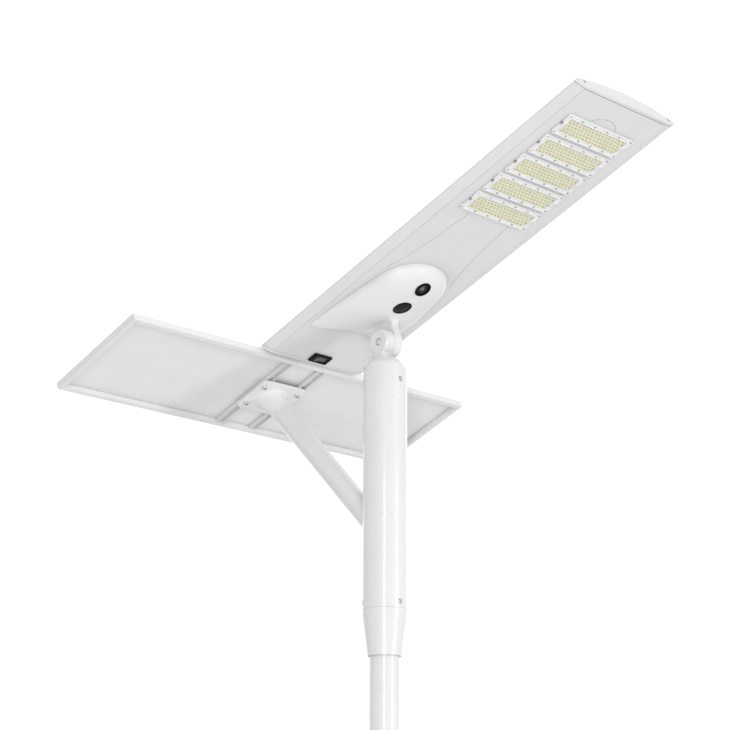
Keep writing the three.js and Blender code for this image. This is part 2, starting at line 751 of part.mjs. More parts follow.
const panel = new THREE.Group();
panel.position.set(...PANEL_POS);
panel.rotation.x = -TILT;
lampHead.add(panel);
part(panel, 'mount_plate', mountPlate(), white);
for (const [index, side] of [-1, 1].entries()) {
  part(panel, `panel_rail_${index + 1}`, rail().translate([side * RAIL_X, 0, 0]), offWhite);
}
let boltNumber = 1;
for (const x of [-PLATE_BOLT[0], PLATE_BOLT[0]]) {
  for (const y of [-PLATE_BOLT[1], PLATE_BOLT[1]]) {
    part(panel, `rail_bolt_${boltNumber}`, railBolt(x, y), steel);
    boltNumber += 1;
  }
}
part(panel, 'junction_box', junctionBox(), black);
const frameSides = [
  ['panel_frame_front', PANEL_HALF[0], PANEL_HALF[1], 0],
  ['panel_frame_right', PANEL_HALF[1], PANEL_HALF[0], Math.PI / 2],
  ['panel_frame_back', PANEL_HALF[0], PANEL_HALF[1], Math.PI],
  ['panel_frame_left', PANEL_HALF[1], PANEL_HALF[0], -Math.PI / 2],
];
for (const [name, half, offset, turn] of frameSides) {
  const bar = part(panel, name, toSolid(frameBar(half, offset)), offWhite);
  bar.rotation.z = turn;
}
part(panel, 'panel_glass', sheet([15.8, 18.3]), glass);
part(panel, 'solar_cells', sheet([15, 15.5]), cellBlue);
part(panel, 'panel_backsheet', sheet([14.3, 14.7]), white);

const lantern = new THREE.Group();
lantern.position.z = HINGE_Z;
lantern.rotation.x = -TILT;
lampHead.add(lantern);
part(lantern, 'top_housing', topHousing(), white);
part(lantern, 'base_plate', basePlate(), white);
part(lantern, 'tip_cap', endCap([TIP_Y, TIP_Y + CAP_THICKNESS], TIP_Y), white);
part(lantern, 'rear_cap', endCap([REAR_Y - CAP_THICKNESS, REAR_Y], REAR_Y), white);
for (const [index, side] of [-1, 1].entries()) {
  part(lantern, `tip_cap_screw_${index + 1}`, capScrew(side * SCREW_PORT.x, TIP_Y, 1), steel);
  part(lantern, `rear_cap_screw_${index + 1}`, capScrew(side * SCREW_PORT.x, REAR_Y, -1), steel);
}
for (let k = 0; k < MODULE_COUNT; k += 1) {
  part(lantern, `led_frame_${k + 1}`, moduleFrame(k), white);
  part(lantern, `led_board_${k + 1}`, modulePlate(k, [-1.9, -0.4], 0.5), board);
  part(lantern, `led_lens_${k + 1}`, modulePlate(k, [-5.6, -2.2], 0.3), clear);
}
part(lantern, 'hinge_boss', hingeBoss(), white);
part(lantern, 'camera_body', cameraBody(), black);
part(lantern, 'camera_lens', cameraLens(), darkGrey);
part(lantern, 'sensor_window', sensorWindow(), black);
part(lantern, 'switch_housing', switchHousing(), black);
part(lantern, 'switch_rocker', switchRocker(), darkGrey);
part(lantern, 'battery_pack', batteryPack(), wrapBlue);
part(lantern, 'charge_controller', chargeController(), darkGrey);

export default lampHead;
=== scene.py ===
import json
from contextlib import contextmanager
from math import atan2, cos, exp, hypot, pi, radians, sin, sqrt

import bmesh
import bpy
import numpy as np
from mathutils import Matrix, Vector


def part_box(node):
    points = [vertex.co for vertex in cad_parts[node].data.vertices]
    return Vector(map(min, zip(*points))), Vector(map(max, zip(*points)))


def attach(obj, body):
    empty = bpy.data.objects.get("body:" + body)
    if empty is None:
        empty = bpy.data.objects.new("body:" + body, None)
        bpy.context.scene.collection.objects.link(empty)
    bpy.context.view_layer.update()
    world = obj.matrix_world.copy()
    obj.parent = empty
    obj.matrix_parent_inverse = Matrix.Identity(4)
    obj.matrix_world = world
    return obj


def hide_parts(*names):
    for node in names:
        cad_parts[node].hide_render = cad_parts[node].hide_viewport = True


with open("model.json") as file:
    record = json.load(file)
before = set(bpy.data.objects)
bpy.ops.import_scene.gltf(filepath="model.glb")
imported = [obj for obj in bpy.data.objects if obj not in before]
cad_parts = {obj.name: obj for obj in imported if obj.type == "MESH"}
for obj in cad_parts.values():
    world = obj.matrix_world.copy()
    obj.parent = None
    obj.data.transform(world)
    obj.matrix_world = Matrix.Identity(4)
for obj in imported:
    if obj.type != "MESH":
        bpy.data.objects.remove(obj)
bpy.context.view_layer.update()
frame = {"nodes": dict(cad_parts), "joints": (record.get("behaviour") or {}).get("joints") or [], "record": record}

MM = 0.001

# ---- dimensions, in millimetres

POLE_R, POLE_WALL, POLE_TOP_Z = 38.05, 3.6, 955.0
COLLAR_Z, COLLAR_R, TAPER_TOP_Z, SEAM_Z = 220.0, 43.2, 324.0, 337.0
SLEEVE_R, SLEEVE_WALL = 57.0, 4.0
DOME_Z, DOME_HEIGHT = 962.0, 38.0
SET_SCREW_Z = (353.5, 931.5)
SET_SCREW_ANGLES = (-90.0, 30.0, 150.0)
SET_SCREW_R = 6.0
HINGE_Z = frame["joints"][1]["pos_m"][2] / MM
SWITCH_AXIS = frame["joints"][2]["axis"]
TILT = atan2(-SWITCH_AXIS[2], SWITCH_AXIS[1])
LUG_R, LUG_X0, LUG_X1 = 35.0, -28.0, 5.5
LUG_HALF_Y, LUG_CORNER = 19.0, 5.0
EAR_X0, EAR_X1, EAR_R = 5.8, 32.1, 35.5
BOLT_HEAD_R = 9.2

GAP = 0.3
UNDERSIDE = 100.6
TIP_Y, REAR_Y, CAP_THICKNESS = -919.7, 262.3, 10.4
UNDERSIDE_HALF, HALF_WIDTH = 152.5, 184.0
EDGE_RISE, EDGE_TOP, CROWN, SHELL, BASE_PLATE = 9.6, 17.0, 37.5, 2.5, 3.0
CROWN_HALF = HALF_WIDTH - 2.5
ROUND_SIDES = 128                      # round the pole and the sleeve
PORT_X, PORT_Z = 158.0, 12.0
BOSS_NOSE_Y, BOSS_NOSE_CENTRE_Y, BOSS_NOSE_HALF = -224.7, -122.7, 112.0
BOSS_TAIL_Y, BOSS_TAIL_HALF, BOSS_NOTCH_Y = 112.0, 138.0, 70.3
BOSS_DEPTH, BOSS_LEVEL_Y, BOSS_TAIL_SLOPE = 44.3, -54.0, 0.245
CAMERA_Y, CAMERA_Z, CAMERA_R, CAMERA_TILT = -169.6, 60.6, 22.6, radians(13.3)
SENSOR_Y, SENSOR_Z, SENSOR_R = -87.8, 56.5, 25.5
MODULE_X, MODULE_Y, MODULE_PITCH, MODULE_FIRST = 236.0, 68.2, 79.6, -478.7
MODULE_DEPTH, MODULE_COUNT = 6.8, 5
WINDOW_X, WINDOW_Y = 208.0, 46.0
SWITCH_Y = 232.5

GLASS_MIDDLE_Z = 17.05                 # over the panel's underside
PLATE_Z0, PLATE_Z1 = -1.8, 4.2
PLATE_X, PLATE_Y = 77.0, 68.0
BOLT_X, BOLT_Y = 60.0, 41.0
ARM_AXIS_Z, ARM_R, ARM_WALL, NECK_START, NECK_FLARE = 523.3, 30.0, 3.0, 561.3, 22.0

HINGE_FRAME = Matrix.Translation((0, 0, HINGE_Z * MM)) @ Matrix.Rotation(-TILT, 4, "X")


def panel_frame():
    """The panel's own frame: origin at the centre of its underside, +Z out of the glass."""
    low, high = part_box("panel_glass")
    normal = Vector((0, sin(TILT), cos(TILT)))
    origin = (low + high) / 2 - normal * GLASS_MIDDLE_Z * MM
    return Matrix.Translation(origin) @ Matrix.Rotation(-TILT, 4, "X")


PANEL_FRAME = panel_frame()
WORLD_FRAME = Matrix.Identity(4)
COAT, PAINT = "pole_paint", "lantern_paint"       # on the steel parts, and on the lantern


def new_object(name, data):
    """A new object in the scene."""
    piece = bpy.data.objects.new(name, data)
    bpy.context.scene.collection.objects.link(piece)
    return piece


# ---- camera and light

STRIP_FRONT, STRIP_RIGHT, LOW_LAMP = 133, 86, 6
FLOOR_HEIGHT, FLOOR_HALF, FLOOR_TONE = -7.0, 60.0, 0.63
LOBE_WINDOW, LOBE_RIGHT, LOBE_LEFT, LOBE_BACK, LOBE_UP = 1.0, 0.64, 0.43, 0.12, 0.62
CAMERA_POS = Vector((-3.362, -3.4198, -0.4154))
CAMERA_YAW, CAMERA_PITCH, CAMERA_ROLL = (radians(a) for a in (43.877, 16.216, 0.314))
CAMERA_LENS, SENSOR_WIDTH = 94.29, 36.0
FRONT_SIDE, RIGHT_SIDE = -3.4, 61.6    # degrees round from the camera's back, for the lights


def make_camera():
    """The camera below the lantern, looking up. Returns its forward and its level direction."""
    data = bpy.data.cameras.new("view")
    data.lens, data.sensor_width = CAMERA_LENS, SENSOR_WIDTH
    data.clip_end = 200
    camera = new_object("view", data)
    forward = Vector((
        sin(CAMERA_YAW) * cos(CAMERA_PITCH),
        cos(CAMERA_YAW) * cos(CAMERA_PITCH),
        sin(CAMERA_PITCH),
    ))
    level = Vector((cos(CAMERA_YAW), -sin(CAMERA_YAW), 0))
    upright = level.cross(forward)
    x_axis = level * cos(CAMERA_ROLL) + upright * sin(CAMERA_ROLL)
    y_axis = upright * cos(CAMERA_ROLL) - level * sin(CAMERA_ROLL)
    turn = Matrix((x_axis, y_axis, -forward)).transposed().to_4x4()
    camera.matrix_world = Matrix.Translation(CAMERA_POS) @ turn
    bpy.context.scene.camera = camera
    return forward, level


def make_world(lobes):
    """Studio surround: a sum of soft lobes, each (direction, start and end of its fade, strength)."""
    world = bpy.data.worlds.new("studio")
    bpy.context.scene.world = world
    world.use_nodes = True
    nodes, links = world.node_tree.nodes, world.node_tree.links
    coords = nodes.new("ShaderNodeTexCoord")
    total = None
    for direction, start, end, strength in lobes:
        dot = nodes.new("ShaderNodeVectorMath")
        dot.operation = "DOT_PRODUCT"
        dot.inputs[1].default_value = direction.normalized()
        fade = nodes.new("ShaderNodeMapRange")
        fade.interpolation_type = "SMOOTHSTEP"
        fade.inputs["From Min"].default_value, fade.inputs["From Max"].default_value = start, end
        fade.inputs["To Max"].default_value = strength
        links.new(coords.outputs["Generated"], dot.inputs[0])
        links.new(dot.outputs["Value"], fade.inputs["Value"])
        if total is None:
            total = fade.outputs["Result"]
            continue
        add = nodes.new("ShaderNodeMath")
        links.new(total, add.inputs[0])
        links.new(fade.outputs["Result"], add.inputs[1])
        total = add.outputs["Value"]
    links.new(total, nodes["Background"].inputs["Color"])


def area_light(name, position, target, size, power):
    """Rectangular lamp that the camera doesn't see, turned towards its target."""
    data = bpy.data.lights.new(name, "AREA")
    data.shape = "RECTANGLE"
    data.size, data.size_y = size
    data.energy = power
    light = new_object(name, data)
    light.visible_camera = False
    light.location = position
    light.rotation_euler = (Vector(target) - Vector(position)).to_track_quat("-Z", "Y").to_euler()


def make_lights(forward):
    """Two upright strips, and a smaller lamp that shines up from below."""
    back = Vector((-forward.x, -forward.y, 0)).normalized()
    low, high, away, width = -3.4, 2.03, 6.0, 0.55
    strips = (("strip_front", FRONT_SIDE, STRIP_FRONT), ("strip_right", RIGHT_SIDE, STRIP_RIGHT))
    for name, degrees, power in strips:
        spot = (Matrix.Rotation(radians(degrees), 3, "Z") @ back) * away
        spot.z = (low + high) / 2
        area_light(name, spot, (0, 0, spot.z), (width, high - low), power)
    target, reach, drop, side = Vector((0, 0, 0.95)), 5.5, radians(57), 0.6
    outward = Matrix.Rotation(radians(FRONT_SIDE), 3, "Z") @ back
    spot = target + outward * (reach * cos(drop)) - Vector((0, 0, reach * sin(drop)))
    area_light("low_lamp", spot, target, (side, side), LOW_LAMP)


def make_floor():
    """Pale floor, far enough down for the object to be seen from below."""
    mesh = bpy.data.meshes.new("floor")
    signs = ((-1, -1), (1, -1), (1, 1), (-1, 1))
    corners = [(sx * FLOOR_HALF, sy * FLOOR_HALF, FLOOR_HEIGHT) for sx, sy in signs]
    mesh.from_pydata(corners, [], [(0, 1, 2, 3)])
    floor = new_object("floor", mesh)
    paint = Nodes("pale_floor")
    paint.shader.inputs["Base Color"].default_value = (FLOOR_TONE, FLOOR_TONE, FLOOR_TONE, 1)
    paint.shader.inputs["Roughness"].default_value = 0.9
    mesh.materials.append(paint.material)


# ---- materials

class Nodes:
    """Short way to write a material's node tree."""

    def __init__(self, name):
        self.material = bpy.data.materials.new(name)
        self.material.use_nodes = True
        self.tree = self.material.node_tree
        self.shader = self.tree.nodes["Principled BSDF"]
        coords = self.tree.nodes.new("ShaderNodeTexCoord")
        self.position = coords.outputs["Object"]

    def add(self, kind, **values):
        """A new node, with its inputs or its own settings given by name."""
        node = self.tree.nodes.new(kind)
        for key, value in values.items():
            if key in node.inputs:
                node.inputs[key].default_value = value
            else:
                setattr(node, key, value)
        return node

    def link(self, source, target):
        """Joins an output to an input."""
        self.tree.links.new(source, target)

    def noise(self, scale, detail=3.0, roughness=0.5, stretch=None):
        """Noise over the object's own coordinates, drawn out along an axis by stretch."""
        node = self.add("ShaderNodeTexNoise", Scale=scale, Detail=detail, Roughness=roughness)
        source = self.position
        if stretch:
            mapping = self.add("ShaderNodeMapping", Scale=stretch)
            self.link(source, mapping.inputs["Vector"])
            source = mapping.outputs["Vector"]
        self.link(source, node.inputs["Vector"])
        return node.outputs["Fac"]

    def spread(self, value, low, high, start=0.3, end=0.7):
        """The value's range from start to end, mapped to low to high."""
        node = self.add("ShaderNodeMapRange")
        for name, number in (("From Min", start), ("From Max", end), ("To Min", low), ("To Max", high)):
            node.inputs[name].default_value = number
        self.link(value, node.inputs["Value"])
        return node.outputs["Result"]

    def two_tone(self, value, dark, light, start=0.3, end=0.7):
        """A colour between dark and light, by the value."""
        node = self.add("ShaderNodeValToRGB")
        ramp = node.color_ramp
        ramp.elements[0].position, ramp.elements[1].position = start, end
        ramp.elements[0].color, ramp.elements[1].color = (*dark, 1), (*light, 1)
        self.link(value, node.inputs["Fac"])
        return node.outputs["Color"]

    def paint_shade_in_corners(self, colour, reach, depth):
        """The colour, darker by up to depth in corners closer than reach (in metres): shade painted into the
        colour by an occlusion node.
        """
        corner = self.add("ShaderNodeAmbientOcclusion", samples=6, Distance=reach)
        scale = self.add("ShaderNodeVectorMath", operation="SCALE")
        self.link(colour, scale.inputs[0])
        self.link(self.spread(corner.outputs["AO"], 1 - depth, 1.0, 0.5, 0.97), scale.inputs["Scale"])
        return scale.outputs["Vector"]

    def bump(self, value, strength, distance, under=None):
        """Relief of the value, distance high in metres, over another relief."""
        node = self.add("ShaderNodeBump", Strength=strength, Distance=distance)
        self.link(value, node.inputs["Height"])
        if under is not None:
            self.link(under, node.inputs["Normal"])
        return node.outputs["Normal"]

    def surface(self, colour, roughness, normal, **values):
        """The material, its shader driven by these outputs and set to these values."""
        for socket, value in (("Base Color", colour), ("Roughness", roughness), ("Normal", normal)):
            if value is not None:
                self.link(value, self.shader.inputs[socket])
        for name, value in values.items():
            self.shader.inputs[name.replace("_", " ")].default_value = value
        return self.material


def shade(colour, factor):
    """The colour, darker by the factor."""
    return tuple(c * factor for c in colour)


def powder_coat(name, colour, roughness, coat, peel=900.0, bump=0.12, corner_shade=0.2):
    """Sprayed and baked paint: faint orange peel, slight cloudiness in tone and gloss, and shade painted into its
    corners.
    """
    n = Nodes(name)
    cloud = n.noise(9.0, 4.0)
    fine = n.noise(peel, 2.0, 0.4)
    return n.surface(
        # darker in its corners: painted shade
        n.paint_shade_in_corners(n.two_tone(cloud, shade(colour, 0.975), colour), 0.04, corner_shade),
        n.spread(n.noise(45.0, 5.0, 0.6), roughness * 0.85, roughness * 1.2),
        n.bump(fine, bump, 0.0004),
        Specular_IOR_Level=0.5, Coat_Weight=coat, Coat_Roughness=0.04,
    )


def metal(name, colour, roughness, stretch):
    """Bare metal with fine turning marks."""
    n = Nodes(name)
    grain = n.noise(700.0, 4.0, 0.6, stretch)
    return n.surface(
        n.two_tone(n.noise(160.0, 3.0), shade(colour, 0.85), colour),
        n.spread(grain, roughness * 0.75, roughness * 1.35),
        n.bump(grain, 0.15, 0.0002),
        Metallic=1.0,
    )


def moulded(name, colour, roughness, grain_scale, bump, coat=0.0, gloss=0.5, corner_shade=0.2):
    """Moulded plastic with a fine grain, and shade painted into its corners."""
    n = Nodes(name)
    grain = n.noise(grain_scale, 3.0, 0.55)
    return n.surface(
        # darker in its corners: painted shade
        n.paint_shade_in_corners(n.two_tone(n.noise(60.0, 4.0), shade(colour, 0.93), colour), 0.012, corner_shade),
        n.spread(grain, roughness * 0.8, roughness * 1.25),
        n.bump(grain, bump, 0.0002),
        Specular_IOR_Level=gloss, Coat_Weight=coat, Coat_Roughness=0.05,
    )


def clear(name, colour, roughness, transmission, alpha, index):
    """Clear plastic or glass with faint smears."""
    n = Nodes(name)
    smear = n.noise(35.0, 5.0, 0.6)
    return n.surface(
        n.two_tone(smear, shade(colour, 0.97), colour),
        n.spread(smear, roughness * 0.7, roughness * 1.5),
        n.bump(n.noise(260.0, 2.0), 0.03, 0.0002),
        IOR=index, Transmission_Weight=transmission, Alpha=alpha,
    )


def phosphor():
    """Yellow phosphor of an LED chip, its tone varying at random."""
    n = Nodes("led_phosphor")
    return n.surface(
        n.two_tone(n.noise(420.0, 3.0), (0.58, 0.56, 0.01), (0.84, 0.82, 0.06)),
        n.spread(n.noise(900.0), 0.3, 0.5),
        None,
        Specular_IOR_Level=0.5, Coat_Weight=0.5, Coat_Roughness=0.1,
    )


def silicon():
    """Dark blue solar cell with the faint mottle of its coating."""
    n = Nodes("cell_silicon")
    return n.surface(
        n.two_tone(n.noise(14.0, 5.0, 0.6), (0.010, 0.017, 0.055), (0.018, 0.03, 0.085)),
        n.spread(n.noise(300.0), 0.22, 0.34),
        n.bump(n.noise(1500.0, 2.0), 0.05, 0.0001),
        Specular_IOR_Level=0.6, Coat_Weight=0.6, Coat_Roughness=0.04,
    )


def backsheet():
    """White polymer film, faintly rippled over the cells behind it, with shade painted into its corners."""
    n = Nodes("backsheet_film")
    ripple = n.noise(6.0, 3.0)
    film = n.two_tone(n.noise(20.0, 4.0), (0.87, 0.873, 0.876), (0.90, 0.903, 0.906))
    return n.surface(
        # darker in its corners: painted shade
        n.paint_shade_in_corners(film, 0.04, 0.26),
        n.spread(n.noise(50.0, 3.0), 0.38, 0.52),
        n.bump(n.noise(700.0, 2.0), 0.08, 0.0002, n.bump(ripple, 0.05, 0.002)),
        Specular_IOR_Level=0.45,
    )


WHITE = (0.825, 0.828, 0.832)
# powder_coat's seventh and moulded's eighth argument, 0.2 when not given, sets how dark shade is painted into
# corners.
MATERIALS = {
    "pole_paint": powder_coat("pole_powder_coat", (0.87, 0.871, 0.874), 0.30, 0.9, 600.0, 0.03),
    "lantern_paint": powder_coat("lantern_powder_coat", WHITE, 0.42, 0.15, 900.0, 0.12, 0.3),
    "frame_white": powder_coat("frame_coat", (0.88, 0.884, 0.888), 0.36, 0.2, 1400.0, 0.06, 0.0),
    "plate_white": powder_coat("plate_powder_coat", (0.93, 0.931, 0.934), 0.34, 0.5, 600.0, 0.03, 0.05),
    "rail_white": powder_coat("rail_coat", (0.83, 0.833, 0.838), 0.4, 0.1, 900.0, 0.06, 0.1),
    "module_white": moulded("module_plastic", (0.98, 0.98, 0.982), 0.36, 900.0, 0.05, 0.2, 0.5, 0.05),
    "rim_white": moulded("rim_plastic", (0.9, 0.9, 0.9), 0.3, 900.0, 0.04, 0.3),
    "steel": metal("stainless", (0.60, 0.61, 0.63), 0.3, (1, 1, 0.15)),
    "zinc": metal("zinc_plate", (0.86, 0.865, 0.87), 0.5, (1, 1, 0.3)),
    "bolt_bright": metal("bright_zinc_plate", (0.97, 0.972, 0.975), 0.62, (1, 1, 0.3)),
    "black_plastic": moulded("black_gloss", (0.004, 0.004, 0.005), 0.3, 700.0, 0.05, 0.0, 0.12),
    "grey_plastic": moulded("grey_matt", (0.11, 0.112, 0.115), 0.42, 600.0, 0.12, 0.0, 0.3),
    # The camera's front element: dark glass, given a lighter grey than its own to paint the sheen on it.
    "camera_glass": moulded("camera_front", (0.15, 0.15, 0.16), 0.1, 300.0, 0.01, 0.3, 0.5),
    "lens_clear": clear("lens_polycarbonate", (0.99, 0.99, 1.0), 0.06, 0.0, 0.05, 1.5),
    "panel_glass": clear("tempered_glass", (0.93, 0.97, 0.97), 0.03, 0.0, 0.12, 1.5),
    "led_board": moulded("led_solder_mask", (0.95, 0.93, 0.94), 0.4, 500.0, 0.05, 0.0, 0.4, 0.0),
    "phosphor": phosphor(),
    "solar_cell": silicon(),
    "silver": metal("silver_ribbon", (0.78, 0.79, 0.80), 0.28, (0.2, 1, 1)),
    "backsheet_white": backsheet(),
    "battery_wrap": moulded("battery_sleeve", (0.07, 0.2, 0.5), 0.35, 400.0, 0.08),
    "screw_grey": metal("screw_head_metal", (0.50, 0.51, 0.54), 0.38, (1, 1, 0.3)),
    "boss_white": powder_coat("boss_gloss_paint", (0.90, 0.902, 0.905), 0.38, 0.2, 700.0, 0.03, 0.1),
    "seal_grey": moulded("silicone_seal", (0.16, 0.16, 0.165), 0.6, 500.0, 0.08),
    "lens_ring": moulded("lens_ring_grey", (0.03, 0.03, 0.032), 0.35, 700.0, 0.05, 0.2),
    "sensor_black": moulded("sensor_film", (0.007, 0.007, 0.008), 0.3, 500.0, 0.05, 0.0, 0.2),
    "dimple": moulded("dimple_shadow", (0.30, 0.305, 0.31), 0.5, 700.0, 0.05),
}


# ---- mesh helpers

def finish(name, bm, place, body, look, replaces=(), smooth=34.0, bevel=0.0, segments=2):
    """Puts a bmesh built in millimetres into the scene as one piece. look names its material or materials."""
    bmesh.ops.recalc_face_normals(bm, faces=bm.faces)
    mesh = bpy.data.meshes.new(name)
    bm.to_mesh(mesh)
    bm.free()
    mesh.transform(place @ Matrix.Scale(MM, 4))
    mesh.shade_smooth()
    mesh.set_sharp_from_angle(angle=radians(smooth))
    piece = new_object(name, mesh)
    for key in [look] if isinstance(look, str) else look:
        mesh.materials.append(MATERIALS[key])
    if bevel:
        modifier = piece.modifiers.new("edges", "BEVEL")
        modifier.width = bevel * MM
        modifier.segments = segments
        modifier.limit_method = "ANGLE"
        modifier.angle_limit = radians(28)
        modifier.harden_normals = True
        modifier.use_clamp_overlap = True
    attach(piece, body)
    if replaces:
        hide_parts(*replaces)
    return piece


def refined(node, body, look, bevel):
    """The CAD node's own shape, with its flat faces merged and its edges rounded."""
    source = frame["nodes"][node].data
    bm = bmesh.new()
    bm.from_mesh(source)
    bmesh.ops.remove_doubles(bm, verts=bm.verts, dist=2e-6)
    bmesh.ops.scale(bm, vec=(1 / MM,) * 3, verts=bm.verts)
    bmesh.ops.dissolve_limit(bm, angle_limit=radians(0.4), verts=bm.verts, edges=bm.edges)
    finish(f"{node}_finished", bm, WORLD_FRAME, body, look, [node], 30, bevel)


def add_ring(bm, points):
    """New points in the bmesh, in order."""
    return [bm.verts.new(p) for p in points]


def bridge(bm, first, second):
    """A wall of quads between two rings of as many points."""
    count = len(first)
    for i in range(count):
        j = (i + 1) % count
        bm.faces.new((first[i], first[j], second[j], second[i]))


def loft(bm, rings, looped=False):
    """Walls from each ring to the next, and from the last to the first when looped."""
    for a, b in zip(rings, rings[1:] + (rings[:1] if looped else [])):
        bridge(bm, a, b)


@contextmanager
def moved(bm, matrix):
    """Whatever is added to the bmesh inside the block is moved by the matrix at its end."""
    before = set(bm.verts)
    yield
    bmesh.ops.transform(bm, matrix=matrix, verts=[v for v in bm.verts if v not in before])


def lathe(bm, profile, sides=96, offset=(0, 0, 0)):
    """Turns a closed (radius, height) profile about +Z. A radius of 0 closes the end."""
    x, y, base = offset
    rings = []
    for radius, height in profile:
        points = circle(radius, sides, x, y) if radius > 1e-6 else [(x, y)]
        rings.append(add_ring(bm, [(u, v, base + height) for u, v in points]))
    for a, b in zip(rings, rings[1:] + rings[:1]):
        if len(a) == 1 and len(b) == 1:
            continue
        if len(a) == 1 or len(b) == 1:
            hub, rim = (a[0], b) if len(a) == 1 else (b[0], a)
            for i, point in enumerate(rim):
                bm.faces.new((hub, point, rim[(i + 1) % len(rim)]))
        else:
            bridge(bm, a, b)


def arc(cx, cz, radius, start, end, steps):
    """Points of an arc in a profile plane, angles in degrees."""
    points = []
    for i in range(steps + 1):
        a = radians(start + (end - start) * i / steps)
        points.append((cx + radius * cos(a), cz + radius * sin(a)))
    return points


def prism(bm, outline, low, high, place=None):
    """Straight prism over an (x, y) outline from z = low to z = high."""
    bottom, top = ([bm.verts.new((x, y, z)) for x, y in outline] for z in (low, high))
    bridge(bm, bottom, top)
    bm.faces.new(bottom[::-1])
    bm.faces.new(top)
    if place is not None:
        bmesh.ops.transform(bm, matrix=place, verts=bottom + top)
    return bottom + top


def rounded_rectangle(half_x, half_y, radius, steps=6):
    """Outline of a rectangle with round corners, about the origin."""
    points = []
    for sx, sy, start in ((1, 1, 0), (-1, 1, 90), (-1, -1, 180), (1, -1, 270)):
        cx, cy = sx * (half_x - radius), sy * (half_y - radius)
        points += arc(cx, cy, radius, start, start + 90, steps)
    return points


def circle(radius, sides, cx=0.0, cy=0.0):
    """Points of a whole circle in a plane."""
    angles = [2 * pi * i / sides for i in range(sides)]
    return [(cx + radius * cos(a), cy + radius * sin(a)) for a in angles]


def aim(origin, direction):
    """Frame at origin whose +Z points along direction."""
    return Matrix.Translation(origin) @ Vector(direction).to_track_quat("Z", "Y").to_matrix().to_4x4()


def turned(origin, degrees, axis):
    """Frame at origin, turned about one of its axes."""
    return Matrix.Translation(origin) @ Matrix.Rotation(radians(degrees), 4, axis)


def in_mm(place):
    """A placement given in metres, for coordinates in millimetres."""
    return Matrix.Scale(1 / MM, 4) @ place @ Matrix.Scale(MM, 4)


def in_metres(place):
    """A placement given in millimetres, for coordinates in metres."""
    return Matrix.Scale(MM, 4) @ place @ Matrix.Scale(1 / MM, 4)


# ---- pole and sleeve

def build_pole():
    """Plain tube with its lower rim broken."""
    bm = bmesh.new()
    inner, rim = POLE_R - POLE_WALL, 0.6
    profile = [(inner, rim), (inner + rim, 0), (POLE_R - rim, 0), (POLE_R, rim)]
    lathe(bm, profile + [(POLE_R, POLE_TOP_Z), (inner, POLE_TOP_Z)], ROUND_SIDES)
    finish("pole_tube", bm, WORLD_FRAME, "pole", COAT, ["pole_top_section"])


def build_collar():
    """Tapered casting with a rounded lower rim, its shoulder eased into the sleeve's line."""
    bm = bmesh.new()
    inner, top = COLLAR_R - SLEEVE_WALL, SLEEVE_R - SLEEVE_WALL
    profile = arc(inner + 1, COLLAR_Z + 1, 1, 180, 270, 3)
    profile += arc(COLLAR_R - 1.2, COLLAR_Z + 1.2, 1.2, 270, 355, 4)
    shoulder = ((0.9, -6.0), (0.25, -1.5), (0.0, 3.0))
    profile += [(SLEEVE_R - inset, TAPER_TOP_Z + rise) for inset, rise in shoulder]
    profile += [(SLEEVE_R, SEAM_Z - 0.5), (SLEEVE_R - 0.35, SEAM_Z), (top, SEAM_Z), (top, TAPER_TOP_Z)]
    lathe(bm, profile, ROUND_SIDES)
    finish("collar_casting", bm, WORLD_FRAME, "sleeve", COAT, ["taper_collar"])


def radial(angle, radius, z):
    """A point in metres, at an angle in degrees round the pole's axis."""
    a = radians(angle)
    return (radius * cos(a) * MM, radius * sin(a) * MM, z * MM)


def build_sleeve():
    """Tube with its chamfered set-screw holes."""
    bm = bmesh.new()
    inner, low = SLEEVE_R - SLEEVE_WALL, SEAM_Z + 0.25
    profile = [(inner, low), (SLEEVE_R - 0.35, low), (SLEEVE_R, low + 0.5)]
    profile += [(SLEEVE_R, z) for z in (500, 700, 900, DOME_Z)]
    lathe(bm, profile + [(inner, DOME_Z)], ROUND_SIDES)
    tube = finish("sleeve_shell", bm, WORLD_FRAME, "sleeve", COAT, ["sleeve_tube"])
    cutter = bmesh.new()
    mouth = SET_SCREW_R + 1.3
    hole = [(0, -15), (SET_SCREW_R, -15), (SET_SCREW_R, -1.6), (mouth, 0.2), (mouth, 8), (0, 8)]
    for z in SET_SCREW_Z:
        for angle in SET_SCREW_ANGLES:
            origin = Vector(radial(angle, SLEEVE_R, z)) / MM
            outward = Vector((origin.x, origin.y, 0)).normalized()
            with moved(cutter, aim(origin, outward)):
                lathe(cutter, hole, 32)
    apply_cut(tube, cutter)


def evaluated_mesh(piece):
    """A new mesh with the piece's modifiers worked in."""
    bpy.context.view_layer.update()
    return bpy.data.meshes.new_from_object(piece.evaluated_get(bpy.context.evaluated_depsgraph_get()))


def apply_cut(piece, cutter_bm, lining=None):
    """Cuts the closed solids of cutter_bm (in millimetres, object's frame) out of the piece."""
    bmesh.ops.recalc_face_normals(cutter_bm, faces=cutter_bm.faces)
    mesh = bpy.data.meshes.new("cutter")
    cutter_bm.to_mesh(mesh)
    if lining:
        mesh.materials.append(MATERIALS[lining])
    cutter_bm.free()
    mesh.transform(Matrix.Scale(MM, 4))
    cutter = new_object("cutter", mesh)
    modifier = piece.modifiers.new("cut", "BOOLEAN")
    modifier.operation, modifier.solver, modifier.object = "DIFFERENCE", "EXACT", cutter
    modifier.material_mode = "TRANSFER" if lining else "INDEX"
    result = evaluated_mesh(piece)
    piece.modifiers.remove(modifier)
    piece.data = result
    result.shade_smooth()
    result.set_sharp_from_angle(angle=radians(34))
    bpy.data.objects.remove(cutter)


